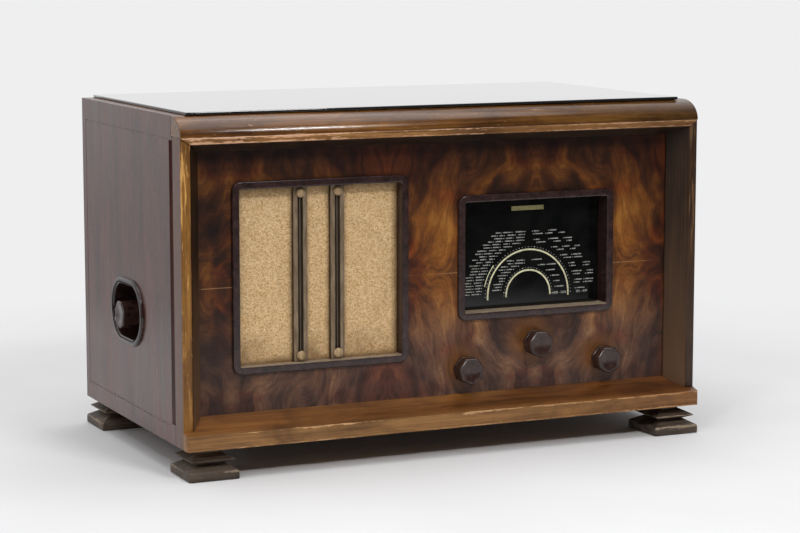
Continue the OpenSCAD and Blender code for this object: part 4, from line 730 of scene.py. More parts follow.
def screen_ink(name, worn, fresh):
    """Screen-printed enamel ink: opaque, semi-matt and slightly uneven."""
    material, tree, shader, place = start(name)
    wear = add(tree, "Mapping", {"Vector": place, "Scale": cells(1.8, 1.8, 1.8)})
    wear = add(tree, "TexNoise", {"Vector": wear, "Scale": 1, "Detail": 3})
    colour = add(tree, "ValToRGB", [wear], [(0.32, worn), (0.56, fresh)])
    connect(tree, shader, {"Base Color": colour, "Roughness": 0.5})
    return material


def coated(name, dark, light, gloss, grain, relief, metallic=0.0, patch=20):
    """A coated, plated or fibrous surface: two shades in patches over a fine surface grain.

    The grain is the cell of the surface's texture in mm, such as enamel's orange peel, a spun
    can's rings or a paper's fibres. The patches are tarnish, stains or dust.
    """
    material, tree, shader, place = start(name)
    stains = add(tree, "Mapping", {"Vector": place, "Scale": cells(patch, patch, patch)})
    stains = add(tree, "TexNoise", {"Vector": stains, "Scale": 1, "Detail": 4, "Distortion": 0.4})
    texture = add(tree, "Mapping", {"Vector": place, "Scale": cells(*grain)})
    texture = add(tree, "TexNoise", {"Vector": texture, "Scale": 1, "Detail": 2})
    colour = add(tree, "ValToRGB", [add(tree, "Mix", [0.3, stains, texture])],
                 [(0.38, dark), (0.62, light)])
    rough = add(tree, "MapRange", {"Value": stains, "To Min": gloss - 0.12, "To Max": gloss + 0.12})
    lie = add(tree, "Bump", {"Height": texture, "Distance": relief})
    connect(tree, shader, {"Base Color": colour, "Metallic": metallic, "Roughness": rough, "Normal": lie})
    return material


def valve_glass():
    """Blown glass with a silvery getter patch at the top of each bulb."""
    material, tree, shader, place = start("valve_glass")
    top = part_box("valve_bulbs")[1].z
    height = add(tree, "SeparateXYZ", [place], out="Z")
    getter = add(tree, "MapRange", {"Value": height, "From Min": top - 22 * MM, "From Max": top - 10 * MM})
    colour = add(tree, "Mix", [getter, linear("#c8d2cc"), linear("#8a8c8e")], data_type="RGBA")
    cover = add(tree, "MapRange", {"Value": getter, "To Min": 0.35, "To Max": 0.9})
    connect(tree, shader, {"Base Color": colour, "Metallic": getter, "Roughness": 0.08, "Alpha": cover})
    return material


def braided_cord():
    """Braided flax drive cord: pale strands that cross about every millimetre."""
    material, tree, shader, place = start("braided_cord")
    strands = add(tree, "Mapping", {"Vector": place, "Scale": cells(3, 3, 3)})
    strands = add(tree, "TexWave", {"Vector": strands, "Scale": 1, "Distortion": 1.5},
                  bands_direction="DIAGONAL")
    colour = add(tree, "ValToRGB", [strands], [(0.2, "#8c8064"), (0.8, "#d0c6a8")])
    connect(tree, shader, {"Base Color": colour, "Roughness": 0.9})
    return material


# Shapes


def slot_of(node):
    """The record's material slot of a node."""
    return NODES[node].data.materials[0].name.split(".")[0]


def piece(name, shape, material, like, replaces=True, body="case", sharp=35.0):
    """Turns a bmesh into an object that rides on a body, and stands for the node it is like."""
    bmesh.ops.remove_doubles(shape, verts=shape.verts, dist=0.001 * MM)
    bmesh.ops.recalc_face_normals(shape, faces=shape.faces)
    for face in shape.faces:
        face.smooth = True
    return made(name, shape, material, like, replaces, body, sharp)


def made(name, shape, material, like, replaces=True, body="case", sharp=35.0):
    """The object of a finished bmesh. Its faces stay smooth or flat as they are marked."""
    for edge in shape.edges:
        edge.smooth = edge.calc_face_angle(0.0) < math.radians(sharp)
    mesh = bpy.data.meshes.new(name)
    shape.to_mesh(mesh)
    shape.free()
    if mesh.has_custom_normals:
        mesh.attributes.remove(mesh.attributes["custom_normal"])
    mesh.materials.append(material)
    item = bpy.data.objects.new(name, mesh)
    bpy.context.scene.collection.objects.link(item)
    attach(item, body)
    slot_of(like)
    if replaces:
        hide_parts(like)
    return item


def softened(node, material, width, segments=2, around=None):
    """A merged copy of a node with its outer arrises eased. Flats stay flat, curves and eases smooth.

    The edges inside the box of the node called around are left as they are.
    """
    # Slivers would hold the bevel back. The strips of a curve meet at small angles, and each covers
    # less than 0.003 square metres.
    sliver, largest_strip = 0.1 * MM, 0.003
    flat, curve, arris = (math.radians(bend) for bend in (0.5, 20, 40))
    low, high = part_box(around) if around else (CASE_LOW, CASE_LOW)
    shape = bmesh.new()
    shape.from_mesh(NODES[node].data)
    bmesh.ops.remove_doubles(shape, verts=shape.verts, dist=sliver)
    bmesh.ops.dissolve_limit(shape, angle_limit=flat, verts=shape.verts, edges=shape.edges)
    for face in shape.faces:
        bends = [edge.calc_face_angle(0.0) for edge in face.edges]
        curved = any(flat < bend < curve for bend in bends)
        face.smooth = curved and face.calc_area() < largest_strip
    arrises = [e for e in shape.edges if e.is_convex and e.calc_face_angle(0.0) > arris
               and not all(low[k] < v.co[k] < high[k] for v in e.verts for k in (1, 2))]
    eased = bmesh.ops.bevel(shape, geom=arrises, offset=width, offset_type="OFFSET", segments=segments,
                            profile=0.5, affect="EDGES", clamp_overlap=True, material=-1)
    for face in eased["faces"]:
        face.smooth = True
    return made(node + "_eased", shape, material, node)


def facing(origin, outward):
    """The place of a shape modelled flat, so that its Z points outward and its Y points up."""
    turn = Matrix((UP.cross(outward), UP, outward)).transposed()
    return Matrix.Translation(origin) @ turn.to_4x4()


def outline(shape, width, height, corner, steps=8):
    """A flat face about the origin with round corners."""
    bmesh.ops.create_grid(shape, x_segments=1, y_segments=1, size=0.5)
    bmesh.ops.scale(shape, verts=shape.verts, vec=(width, height, 1))
    bmesh.ops.bevel(shape, geom=shape.verts[:], offset=corner, offset_type="OFFSET", segments=steps,
                    profile=0.5, affect="VERTICES", material=-1)
    return shape.faces[:][0]


def oblong(shape, length, height, steps=64):
    """A flat face about the origin with round ends: a circle whose halves are moved apart."""
    between = Matrix.Rotation(math.pi / steps, 4, "Z")
    verts = bmesh.ops.create_circle(shape, cap_ends=True, segments=steps, radius=height / 2,
                                    matrix=between)["verts"]
    for side in (-1, 1):
        half = [v for v in verts if v.co.x * side > 0]
        bmesh.ops.translate(shape, verts=half, vec=(side * (length - height) / 2, 0, 0))
    return verts[0].link_faces[0]


def ring(shape, face, thickness):
    """The faces of a band inside a face's edge."""
    return bmesh.ops.inset_region(shape, faces=[face], thickness=thickness, use_boundary=True,
                                  use_even_offset=True)["faces"]


def pushed(shape, faces, distance, keep=True):
    """Extrudes faces along Z, and keeps or drops the faces left behind. Returns the moved ones."""
    grown = bmesh.ops.extrude_face_region(shape, geom=faces, use_keep_orig=True)["geom"]
    verts = [g for g in grown if isinstance(g, bmesh.types.BMVert)]
    bmesh.ops.translate(shape, verts=verts, vec=(0, 0, distance))
    if not keep:
        bmesh.ops.delete(shape, geom=faces, context="FACES_ONLY")
    return [g for g in grown if isinstance(g, bmesh.types.BMFace)]


def stepped(shape, cap, profile, keep=True):
    """Extrudes a cap face through a list of heights and radii, starting from the first pair.

    The face stays behind if keep is set, as the back of the shape.
    """
    height, radius = profile[0]
    for next_height, next_radius in profile[1:]:
        cap = pushed(shape, [cap], next_height - height, keep)[0]
        ratio = next_radius / radius
        bmesh.ops.scale(shape, verts=cap.verts[:], vec=(ratio, ratio, 1))
        height, radius = next_height, next_radius
        keep = False
    return cap


def edge_ring(shape, height, bend=60):
    """The sharp edges that lie at a height."""
    return [e for e in shape.edges if all(abs(v.co.z - height) < 0.01 * MM for v in e.verts)
            and e.calc_face_angle(0.0) > math.radians(bend)]


# Case


class RADIO_OT_case_boards(bpy.types.Operator):
    """Ease the arrises of the sides, boards, battens and rear cover, and finish them"""
    bl_idname = "radio.case_boards"
    bl_label = "Case boards"

    def execute(self, context):
        edge = chosen("radio_case").edge
        side = stained_side_wood()
        plain = case_wood()
        softened("side_left", side, edge, around="side_cup")
        for node, material, width in (("side_right", side, edge), ("top_board", plain, edge / 2),
                                      ("bottom_board", plain, edge / 2),
                                      ("case_battens", batten_wood(), edge),
                                      ("front_panel", figured_walnut(), edge / 3),
                                      ("rear_cover", hardboard(), edge)):
            softened(node, material, width)
        return {"FINISHED"}


class RADIO_OT_front_mouldings(bpy.types.Operator):
    """Ease and finish the roll, lip, posts, bevelled strips and sill round the front"""
    bl_idname = "radio.front_mouldings"
    bl_label = "Front mouldings"

    def execute(self, context):
        case = chosen("radio_case")
        softened("top_roll", roll_wood(), case.roll_edge)
        softened("lip_strip", lip_wood(), case.roll_edge, segments=3)
        # The left post's golden front and the right post's dark one are partly wear and stain, and partly
        # painted light and shade, as more light falls on the case's left end.
        left = post_wood("post_left", ["#4f300f", "#8a5c22", "#b37e3a"], "#d9a45c", 0.9)
        right = post_wood("post_right", ["#24150a", "#3d2715", "#5a3f26"], "#a07a52", 0.3)
        softened("post_left", left, case.edge)
        softened("post_right", right, case.edge)
        dark = dark_bevel_wood()
        for node in ("splay_left", "splay_right", "splay_top"):
            softened(node, dark, case.edge / 2)
        softened("sill", sill_wood(), case.roll_edge, segments=3)
        return {"FINISHED"}


class RADIO_OT_top_plate(bpy.types.Operator):
    """Polish the edges of the black plate on the top"""
    bl_idname = "radio.top_plate"
    bl_label = "Top plate"

    def execute(self, context):
        softened("top_plate", black_top_plate(), chosen("radio_case").roll_edge, segments=3)
        return {"FINISHED"}


class RADIO_OT_feet(bpy.types.Operator):
    """Wear the four stepped feet round at their slabs and collars"""
    bl_idname = "radio.feet"
    bl_label = "Feet"

    def execute(self, context):
        softened("feet", weathered_foot_wood(), chosen("radio_case").foot_edge, segments=3)
        return {"FINISHED"}


# Front fittings


class RADIO_OT_surrounds(bpy.types.Operator):
    """Mould the surrounds of the loudspeaker opening and the dial"""
    bl_idname = "radio.surrounds"
    bl_label = "Surrounds"

    def execute(self, context):
        material = moulded_bakelite("brown_bakelite", "#271917", "#33211f", "#3f2b28", gloss=0.25,
                                    dusty=True)
        for node in ("grille_bezel", "dial_bezel"):
            self.surround(node, material)
        return {"FINISHED"}

    def surround(self, node, material):
        """A band on the panel with rounded front edges, and a sleeve that lines the opening."""
        sizes = chosen("radio_surrounds")
        low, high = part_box(node)
        shape = bmesh.new()
        face = outline(shape, high.x - low.x, high.z - low.z, sizes.corner)
        outer = ring(shape, face, sizes.band - sizes.sleeve)
        inner = ring(shape, face, sizes.sleeve)
        bmesh.ops.delete(shape, geom=[face], context="FACES_ONLY")
        proud = PANEL_Y - low.y
        pushed(shape, outer + inner, proud)
        bmesh.ops.bevel(shape, geom=edge_ring(shape, proud), offset=sizes.ease, offset_type="OFFSET",
                        segments=4, profile=0.5, affect="EDGES", material=-1)
        pushed(shape, inner, PANEL_Y - high.y, keep=False)
        centre = middle(node)
        bmesh.ops.transform(shape, matrix=facing(Vector((centre.x, PANEL_Y, centre.z)), FRONT),
                            verts=shape.verts)
        item = piece(node + "_moulded", shape, material, node)
        # Dust lies on the lower wall of the opening
        ledge = low.z + sizes.band
        dust = item.data.attributes.new("dust", "FLOAT", "POINT")
        for vert, value in zip(item.data.vertices, dust.data):
            inside = low.x + sizes.band < vert.co.x < high.x - sizes.band
            behind = vert.co.y > low.y + sizes.ease / 2
            value.value = float(inside and behind and abs(vert.co.z - ledge) < MM)


class RADIO_OT_grille(bpy.types.Operator):
    """Stretch the cloth and set the two channelled bars with their studs before it"""
    bl_idname = "radio.grille"
    bl_label = "Grille"

    def execute(self, context):
        self.cloth()
        # The bars' slot is painted black with dirt and shade behind its front
        brass = aged_brass("aged_brass", "#6a5740", "#857058", "#9a866b", 0.15,
                           grimy_shaded_from=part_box("grille_bars")[0].y + MM)
        bar_edge = 0.4 * MM
        softened("grille_bars", brass, bar_edge)
        self.studs()
        return {"FINISHED"}

    def cloth(self):
        """One sheet, taut on the baffle board, that gives a little between its edges."""
        low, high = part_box("grille_cloth")
        width, height = high.x - low.x, high.z - low.z
        depth, thickness, strips = 0.3 * MM, 0.5 * MM, 90
        shape = bmesh.new()
        bmesh.ops.create_grid(shape, x_segments=strips, y_segments=strips, size=0.5)
        bmesh.ops.scale(shape, verts=shape.verts, vec=(width, height, 1))
        for vert in shape.verts:
            give = math.cos(math.pi * vert.co.x / width) * math.cos(math.pi * vert.co.y / height)
            vert.co.z -= chosen("radio_grille").sag * give
        centre = middle("grille_cloth")
        bmesh.ops.transform(shape, matrix=facing(Vector((centre.x, low.y + depth, centre.z)), FRONT),
                            verts=shape.verts)
        item = piece("grille_cloth_woven", shape, woven_cloth(), "grille_cloth")
        solid = item.modifiers.new("thickness", "SOLIDIFY")
        solid.thickness = thickness
        solid.offset = 0.0

    def studs(self):
        """Domed heads turned with a small rim, on their shanks."""
        low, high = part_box("bar_studs")
        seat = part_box("grille_bars")[0].y
        radius, shank = 4.75 * MM, 2 * MM
        dome = seat - low.y
        rim, arcs = 0.35 * dome, 5
        shape = bmesh.new()
        for x in (low.x + radius, high.x - radius):
            for z in (low.z + radius, high.z - radius):
                profile = [(0.0, dome)]
                for step in range(1, arcs + 1):
                    angle = math.pi / 2 * step / arcs
                    profile.append((radius * math.sin(angle), rim + (dome - rim) * math.cos(angle)))
                profile += [(radius, 0.0), (shank, 0.0), (shank, seat - high.y), (0.0, seat - high.y)]
                verts = [shape.verts.new((x + r, z, h)) for r, h in profile]
                edges = [shape.edges.new(pair) for pair in zip(verts, verts[1:])]
                bmesh.ops.spin(shape, geom=verts + edges, cent=(x, z, 0), axis=(0, 0, 1),
                               angle=2 * math.pi, steps=32, use_merge=True)
        bmesh.ops.transform(shape, matrix=facing(Vector((0, seat, 0)), FRONT), verts=shape.verts)
        piece("bar_studs_domed", shape, aged_brass("stud_brass", "#866d4d", "#ab8f69", "#c8ac83", 0.1),
              "bar_studs")


class RADIO_OT_dial(bpy.types.Operator):
    """Print the scale on the dial glass: arcs, dots, rows of dashes, numbers and a bar"""
    bl_idname = "radio.dial"
    bl_label = "Dial"

    def execute(self, context):
        self.ink = 0.06 * MM
        self.sizes = chosen("radio_dial")
        NODES["dial_glass"].data.materials[0] = black_dial_glass()
        pivot = middle("drive_drum")
        self.place = facing(Vector((pivot.x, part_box("dial_glass")[0].y, pivot.z)), FRONT)
        cream = screen_ink("cream_ink", "#b4af8c", "#e8e4bd")
        white = screen_ink("white_ink", "#8f8f8a", "#d2d2cb")
        self.arcs(cream)
        self.dots(white)
        self.rows(white)
        self.numbers(white)
        left, foot, width, height = -19.5 * MM, 86 * MM, 36.5 * MM, 4.4 * MM
        bar = bmesh.new()
        self.mark(bar, left, foot, width, height)
        self.printed("dial_bar", bar, screen_ink("olive_ink", "#948e5c", "#b4ad74"))
        return {"FINISHED"}

    def printed(self, name, shape, material):
        """Raises flat marks to the ink's thickness and puts them on the glass."""
        pushed(shape, shape.faces[:], self.ink)
        bmesh.ops.transform(shape, matrix=self.place, verts=shape.verts)
        piece(name, shape, material, "dial_glass", replaces=False)

    def mark(self, shape, x, y, width, height):
        """A flat printed rectangle from its lower left corner."""
        grid = bmesh.ops.create_grid(shape, x_segments=1, y_segments=1, size=0.5)["verts"]
        bmesh.ops.scale(shape, verts=grid, vec=(width, height, 1))
        bmesh.ops.translate(shape, verts=grid, vec=(x + width / 2, y + height / 2, 0))

    def arcs(self, material):
        """The two scale lines and a short third one outside them."""
        shape = bmesh.new()
        sizes = self.sizes
        third, step = sizes.outer + 4.6 * MM, 3
        # Radius and width of each line, and its first and last angle, in degrees as the step is
        for radius, width, first, last in ((sizes.outer, sizes.line, -4, 184),
                                           (sizes.inner, sizes.line, -3, 183),
                                           (third, sizes.line / 2, 141, 168)):
            ends = [shape.verts.new((radius + side * width / 2, 0, 0)) for side in (-1, 1)]
            edge = shape.edges.new(ends)
            turn = Matrix.Rotation(math.radians(first), 3, "Z")
            bmesh.ops.rotate(shape, verts=ends, cent=(0, 0, 0), matrix=turn)
            bmesh.ops.spin(shape, geom=ends + [edge], cent=(0, 0, 0), axis=(0, 0, 1),
                           angle=math.radians(last - first), steps=(last - first) // step)
        self.printed("dial_arcs", shape, material)

    def dots(self, material):
        """A ring of dots outside each scale line, every fifth one larger."""
        small, large = 0.36 * MM, 0.55 * MM
        shape = bmesh.new()
        # Radius of each ring, and the number of gaps between its dots
        for radius, count in ((self.sizes.outer + 2.7 * MM, 44), (self.sizes.inner + 2.5 * MM, 26)):
            for index in range(count + 1):
                angle = math.pi * index / count
                spot = Matrix.Translation((radius * math.cos(angle), radius * math.sin(angle), 0))
                bmesh.ops.create_circle(shape, cap_ends=True, segments=8, matrix=spot,
                                        radius=small if index % 5 else large)
        self.printed("dial_dots", shape, material)

    def rows(self, material):
        """Rows of plain dashes that fill the space outside each scale line, each begun by a dot."""
        draw = random.Random(11)
        shape = bmesh.new()
        sizes = self.sizes
        centre_gap, top_gap, right_reach = 4 * MM, 5 * MM, 1.05
        outer_from = sizes.outer + 7 * MM
        inner_from, inner_to = sizes.inner + 6 * MM, sizes.outer - 3 * MM
        for row in range(1, int((sizes.reach - top_gap) / sizes.row)):
            height = row * sizes.row
            for side in (-1, 1):
                if side == 1 and row % 3 == 2:
                    continue
                inner = self.half_chord(outer_from, height, centre_gap)
                limit = (1.0 if side < 0 else right_reach) * self.half_chord(sizes.reach, height)
                self.row(shape, draw, side, height, inner + draw.uniform(0, 3) * MM, limit)
        for row in range(2, 13):
            height = row * sizes.row
            for side in (-1, 1):
                if side == 1 and row % 2:
                    continue
                inner = self.half_chord(inner_from, height, centre_gap)
                limit = self.half_chord(inner_to, height)
                self.row(shape, draw, side, height, inner + draw.uniform(0, 1) * MM, limit)
        self.printed("dial_dashes", shape, material)

    def half_chord(self, radius, height, least=0.0):
        """From the centre line to a circle at a height, and no less than a given length."""
        return math.sqrt(max(radius ** 2 - height ** 2, least ** 2))

    def row(self, shape, draw, side, height, inner, limit):
        """Groups of dashes from an inner to an outer distance, on one side of the centre line."""
        tall, pitch, dot, shortest = 1.15 * MM, 1.05 * MM, 0.8 * MM, 5 * MM
        widest_gap = (2 if side < 0 else 9) * MM
        while limit - inner > shortest:
            dashes = min(draw.randint(5, 10), int((limit - inner) / pitch))
            self.mark(shape, side * inner - dot / 2, height, dot, dot)
            for index in range(1, dashes):
                width = draw.uniform(0.55, 0.8) * MM
                left = inner + (index + 0.6) * pitch
                x = left if side > 0 else -left - width
                self.mark(shape, x, height, width, tall * draw.uniform(0.75, 1.0))
            inner += (dashes + 2.2) * pitch + draw.uniform(0, widest_gap)

    def numbers(self, material):
        """Plain numbers at the lower right of the scale."""
        letter, baseline = 3.4 * MM, -1.2 * MM
        for name, text, x in (("dial_numbers_long", "1000 - 2000", 27.5 * MM),
                              ("dial_numbers_short", "200 - 600", 55 * MM)):
            curve = bpy.data.curves.new(name, "FONT")
            curve.body = text
            curve.size = letter
            label = bpy.data.objects.new(name + "_text", curve)
            bpy.context.scene.collection.objects.link(label)
            mesh = bpy.data.meshes.new_from_object(label)
            bpy.data.objects.remove(label)
            mesh.transform(Matrix.Translation((x, baseline, 0)))
            shape = bmesh.new()
            shape.from_mesh(mesh)
            bpy.data.meshes.remove(mesh)
            self.printed(name, shape, material)


class RADIO_OT_knobs(bpy.types.Operator):
    """Mould the three knobs on the front and the one on the left side"""
    bl_idname = "radio.knobs"
    bl_label = "Knobs"

    def execute(self, context):
        material = moulded_bakelite("knob_bakelite", "#291815", "#38251f", "#463029")
        self.knob("volume_knob", "volume_shaft", "volume", FRONT, material)
        self.knob("tone_knob", "tone_shaft", "tone", FRONT, material)
        self.knob("tuning_knob", "tuning_spindle", "tuning", FRONT, material)
        self.knob("range_knob", "range_shaft", "range", LEFT, material)
        return {"FINISHED"}

    def knob(self, node, shaft, body, outward, material):
        """A base rim, a narrow waist and a seven-sided grip whose bevelled face has a round dish."""
        sizes = chosen("radio_knobs")
        low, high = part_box(node)
        deep = abs((high - low).dot(outward))
        back = min(low.dot(outward), high.dot(outward))
        radius, corner, ease, soft = sizes.radius, 0.9 * MM, 0.35 * MM, 0.1 * MM
        base, waist, neck = 3.4 * MM, 4.6 * MM, radius - 0.8 * MM
        face, shoulder, chamfer = radius - sizes.bevel, deep - sizes.bevel, 0.15 * MM
        shape = bmesh.new()
        turn = Matrix.Rotation(math.pi, 4, "Z")
        bmesh.ops.create_circle(shape, cap_ends=True, segments=sizes.sides, radius=radius - ease,
                                matrix=turn)
        bmesh.ops.bevel(shape, geom=shape.verts[:], offset=corner, offset_type="OFFSET", segments=3,
                        profile=0.5, affect="VERTICES", material=-1)
        cap = stepped(shape, shape.faces[:][0], [
            (0.0, radius - ease), (ease, radius), (base - ease, radius), (base, radius - ease),
            (base, neck), (waist, neck), (waist, radius - ease), (waist + ease, radius),
            (shoulder - soft, radius), (shoulder + soft, radius - chamfer),
            (deep - chamfer, face + soft), (deep, face - soft)])
        loop = cap.edges[:]
        count = len(loop)
        bmesh.ops.delete(shape, geom=[cap], context="FACES_ONLY")
        # The dish: a rim turned down first, then a bowl whose depth goes with the radius squared.
        # It begins at bowl_square, the square of its share of the mouth to three places.
        mouth, rim_drop, rings = 0.64 * radius, 0.12 * MM, 6
        bowl, bowl_square = 0.955, 0.912
        rim = bmesh.ops.create_circle(shape, cap_ends=True, segments=count, radius=mouth,
                                      matrix=Matrix.Translation((0, 0, deep)) @ turn)["verts"]
        dish = rim[0].link_faces[0]
        bmesh.ops.bridge_loops(shape, edges=loop + dish.edges[:])
        hollow = [(deep, mouth), (deep - rim_drop, mouth * bowl)]
        for step in range(1, rings + 1):
            reach = bowl * (1 - step / (rings + 1))
            hollow.append((deep - rim_drop - sizes.dish * (bowl_square - reach ** 2), mouth * reach))
        stepped(shape, dish, hollow, keep=False)
        axis = middle(shaft)
        origin = axis + outward * (back - axis.dot(outward))
        bmesh.ops.transform(shape, matrix=facing(origin, outward), verts=shape.verts)
        piece(node + "_moulded", shape, material, node, body=body, sharp=24)


class RADIO_OT_side_cup(bpy.types.Operator):
    """Mould the oblong cup in the left side, with its rounded rim"""
    bl_idname = "radio.side_cup"
    bl_label = "Side cup"

    def execute(self, context):
        low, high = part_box("side_cup")
        rim, wall, ease, hole = 7 * MM, 1.6 * MM, 2.6 * MM, 4 * MM
        length, height = high.y - low.y, high.z - low.z
        proud = CASE_LOW.x - low.x
        shape = bmesh.new()
        face = oblong(shape, length, height)
        outer = ring(shape, face, rim - wall)
        inner = ring(shape, face, wall)
        bmesh.ops.delete(shape, geom=[face], context="FACES_ONLY")
        pushed(shape, outer + inner, proud)
        bmesh.ops.bevel(shape, geom=edge_ring(shape, proud), offset=ease, offset_type="OFFSET",
                        segments=5, profile=0.5, affect="EDGES", material=-1)
        pushed(shape, inner, CASE_LOW.x - high.x, keep=False)
        # The floor lies inside the sleeve, with a hole for the shaft
        shaft = middle("range_shaft")
        floor = bmesh.new()
        plate = oblong(floor, length - 2 * rim, height - 2 * rim)
        loop = plate.edges[:]
        bmesh.ops.delete(floor, geom=[plate], context="FACES_ONLY")
        centre = middle("side_cup")
        offset = Vector((centre.y - shaft.y, shaft.z - centre.z, 0))
        circle = bmesh.ops.create_circle(floor, segments=len(loop), radius=hole,
                                         matrix=Matrix.Translation(offset))["verts"]
        edges = list({e for v in circle for e in v.link_edges})
        bmesh.ops.bridge_loops(floor, edges=loop + edges)
        pushed(floor, floor.faces[:], wall)
        bmesh.ops.translate(floor, verts=floor.verts, vec=(0, 0, CASE_LOW.x - high.x))
        joined = bpy.data.meshes.new("cup_floor")
        floor.to_mesh(joined)
        floor.free()
        shape.from_mesh(joined)
        bpy.data.meshes.remove(joined)
        bmesh.ops.transform(shape, matrix=facing(Vector((CASE_LOW.x, centre.y, centre.z)), LEFT),
                            verts=shape.verts)
        piece("side_cup_moulded", shape, moulded_bakelite("cup_bakelite", "#1f1311", "#2a1b18", "#35231f"),
              "side_cup")
        return {"FINISHED"}


# Pieces inside


class RADIO_OT_inner_finishes(bpy.types.Operator):
    """Finish the chassis, loudspeaker, valves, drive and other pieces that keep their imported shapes"""
    bl_idname = "radio.inner_finishes"
    bl_label = "Inner finishes"

    def execute(self, context):
        turned = (0.5, 0.5, 10)
        finishes = [
            # Stoved enamel: even colour with a slight orange peel
            coated("cream_steel", "#a79d80", "#cdc4a8", 0.42, (1.2, 1.2, 1.2), 0.03 * MM),
            coated("dark_steel", "#262422", "#45413d", 0.5, (1.2, 1.2, 1.2), 0.03 * MM),
            # Bare and plated metals: turning or rolling marks, with patches of tarnish
            coated("bright_brass", "#86682f", "#c2a058", 0.34, turned, 0.02 * MM, metallic=1.0),
            coated("plated_steel", "#8b897f", "#a9a79c", 0.46, turned, 0.02 * MM, metallic=1.0, patch=70),
            coated("spun_aluminium", "#969692", "#c6c6c2", 0.38, (10, 10, 0.4), 0.02 * MM, metallic=1.0),
            # Moulded phenolic, paper pulp, resin-bonded paper and rubber: matt to soft gloss, short fibres
            coated("black_bakelite", "#0f0d0c", "#221e1c", 0.32, (5, 5, 5), 0.02 * MM),
            coated("cone_paper", "#30271f", "#54463a", 0.85, (2, 2, 2), 0.08 * MM),
            coated("bonded_paper", "#482a17", "#784c2c", 0.5, (4, 4, 1), 0.04 * MM),
            coated("black_rubber", "#131110", "#26221f", 0.7, (1, 1, 1), 0.03 * MM),
            batten_wood(),
            case_wood(),
            valve_glass(),
            braided_cord(),
        ]
        by_slot = {material.name.split(".")[0]: material for material in finishes}
        for name, node in NODES.items():
            if node.hide_render or name == "dial_glass":
                continue
            for index in range(len(node.data.materials)):
                node.data.materials[index] = by_slot[slot_of(name)]
        return {"FINISHED"}


# Studio


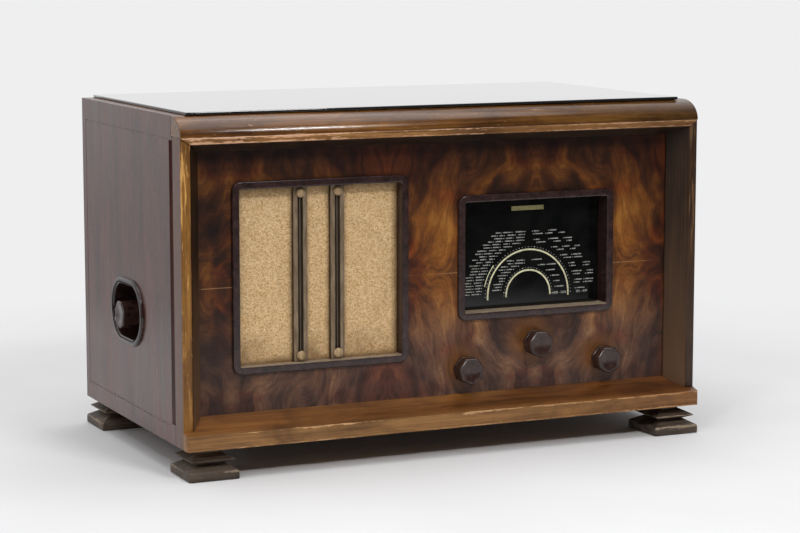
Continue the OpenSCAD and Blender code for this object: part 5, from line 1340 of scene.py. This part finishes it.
class RADIO_OT_stage(bpy.types.Operator):
    """Set the floor, the lights, the background and the camera"""
    bl_idname = "radio.stage"
    bl_label = "Stage"

    def execute(self, context):
        stage = chosen("radio_stage")
        self.camera(context, stage)
        self.floor(stage)
        self.lights(context, stage)
        self.background(context, stage)
        return {"FINISHED"}

    def camera(self, context, stage):
        """The camera at the photograph's angle, 7.9 degrees above and 24.8 degrees to the left."""
        above, aside = 0.13756, 0.43295
        data = bpy.data.cameras.new("camera")
        data.lens = stage.lens
        data.sensor_width = 36
        data.clip_end = 30
        item = bpy.data.objects.new("camera", data)
        item.location = (-1.0092, -2.22109, 0.50697)
        item.rotation_euler = (math.pi / 2 - above, 0.0, -aside)
        context.scene.collection.objects.link(item)
        context.scene.camera = item

    def floor(self, stage):
        """A round paper floor that keeps the shadow and fades into the background at its edge."""
        reach, fade_from, gap = 1.1, 0.4, 0.2 * MM
        shape = bmesh.new()
        bmesh.ops.create_circle(shape, cap_ends=True, segments=96, radius=reach)
        bmesh.ops.translate(shape, verts=shape.verts, vec=(0, 0, FLOOR_Z - gap))
        mesh = bpy.data.meshes.new("floor")
        shape.to_mesh(mesh)
        shape.free()
        material, tree, shader, place = start("backdrop_paper")
        fibres = add(tree, "Mapping", {"Vector": place, "Scale": cells(300, 300, 300)})
        fibres = add(tree, "TexNoise", {"Vector": fibres, "Scale": 1, "Detail": 3})
        paper = add(tree, "ValToRGB", [fibres], [(0.3, "#e2e2e3"), (0.7, "#e8e8e9")])
        connect(tree, shader, {"Base Color": paper, "Roughness": 0.95, "Specular IOR Level": 0.1})
        far = add(tree, "VectorMath", [place, (0, 0, 0)], operation="DISTANCE", out="Value")
        far = add(tree, "MapRange", {"Value": far, "From Min": fade_from, "From Max": reach * 0.95},
                  interpolation_type="SMOOTHSTEP")
        seen = add(tree, "LightPath", out="Is Camera Ray")
        far = add(tree, "Math", [far, seen], operation="MULTIPLY")
        glow = add(tree, "Emission", {"Color": tuple(stage.backdrop), "Strength": 1.0})
        blend = add(tree, "MixShader", [far, shader.outputs[0], glow])
        connect(tree, tree.nodes["Material Output"], {"Surface": blend})
        mesh.materials.append(material)
        item = bpy.data.objects.new("floor", mesh)
        bpy.context.scene.collection.objects.link(item)

    def lights(self, context, stage):
        """A large soft light overhead, smaller ones in front and on the left, and a small one high up."""
        target = Vector((0.0, 0.0, 0.18))
        # Name, power, width, height and place of each, in metres, all turned to the target
        for name, watts, width, height, spot in (
                ("overhead", stage.overhead, 2.8, 2.4, Vector((0.05, -0.1, 2.5))),
                ("key", stage.key, 0.55, 0.3, Vector((0.28, -1.98, 1.78))),
                ("left", stage.fill, 1.0, 1.4, Vector((-2.4, -0.4, 1.3))),
                ("edge", stage.edge, 0.4, 0.4, Vector((-1.5, -1.5, 1.95)))):
            data = bpy.data.lights.new(name, "AREA")
            data.shape = "RECTANGLE"
            data.size = width
            data.size_y = height
            data.energy = watts
            item = bpy.data.objects.new(name, data)
            item.location = spot
            item.rotation_euler = (target - spot).to_track_quat("-Z", "Y").to_euler()
            context.scene.collection.objects.link(item)

    def background(self, context, stage):
        """A grey surround that the camera, gloss and glass see as the backdrop's colour.

        The room is darker towards the front, as behind a photographer, and in a band below the
        horizon, where a table ends. Only gloss and glass see that.
        """
        grey, black = (0.58, 0.58, 0.59, 1), (0, 0, 0, 1)
        world = bpy.data.worlds.new("studio")
        context.scene.world = world
        world.use_nodes = True
        tree = world.node_tree
        seen = add(tree, "LightPath", out="Is Camera Ray")
        for ray in ("Is Glossy Ray", "Is Transmission Ray"):
            seen = add(tree, "Math", [seen, add(tree, "LightPath", out=ray)], operation="MAXIMUM")
        forward, upward = (add(tree, "SeparateXYZ", [add(tree, "TexCoord", out="Generated")], out=name)
                           for name in "YZ")
        behind = add(tree, "MapRange", {"Value": forward, "From Min": -0.4, "From Max": 0.4,
                                        "To Min": 0.1, "To Max": 1.0})
        band = add(tree, "ValToRGB", [add(tree, "Math", [upward, 0.5], operation="ADD")],
                   [(0.34, 1.0), (0.36, 0.4), (0.385, 0.5), (0.42, 1.0)])
        behind = add(tree, "Math", [behind, band], operation="MULTIPLY")
        behind = add(tree, "Math", [behind, add(tree, "LightPath", out="Is Camera Ray")],
                     operation="MAXIMUM")
        light = add(tree, "Mix", [seen, grey, tuple(stage.backdrop)], data_type="RGBA")
        light = add(tree, "Mix", [behind, black, light], data_type="RGBA")
        connect(tree, tree.nodes["Background"], {"Color": light})
        context.scene.view_settings.view_transform = "Standard"


STEPS = (RADIO_OT_case_boards, RADIO_OT_front_mouldings, RADIO_OT_top_plate, RADIO_OT_feet,
         RADIO_OT_surrounds, RADIO_OT_grille, RADIO_OT_dial, RADIO_OT_knobs, RADIO_OT_side_cup,
         RADIO_OT_inner_finishes, RADIO_OT_stage)


class RADIO_PT_sidebar(bpy.types.Panel):
    """Settings and buttons for the radio's pieces"""
    bl_label = "Radio receiver"
    bl_idname = "RADIO_PT_sidebar"
    bl_space_type = "VIEW_3D"
    bl_region_type = "UI"
    bl_category = "Radio"

    def draw(self, context):
        for name, group in SETTINGS.items():
            box = self.layout.box()
            for prop in group.__annotations__:
                box.prop(getattr(context.scene, name), prop)
        for step in STEPS:
            self.layout.operator(step.bl_idname)


CLASSES = (*SETTINGS.values(), *STEPS, RADIO_PT_sidebar)


def register():
    for item in CLASSES:
        bpy.utils.register_class(item)
    for name, group in SETTINGS.items():
        setattr(bpy.types.Scene, name, bpy.props.PointerProperty(type=group))


def unregister():
    for name in SETTINGS:
        delattr(bpy.types.Scene, name)
    for item in reversed(CLASSES):
        bpy.utils.unregister_class(item)


def main():
    """Builds every piece."""
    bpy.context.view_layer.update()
    register()
    for step in STEPS:
        group, name = step.bl_idname.split(".")
        getattr(getattr(bpy.ops, group), name)()


if __name__ == "__main__":
    main()
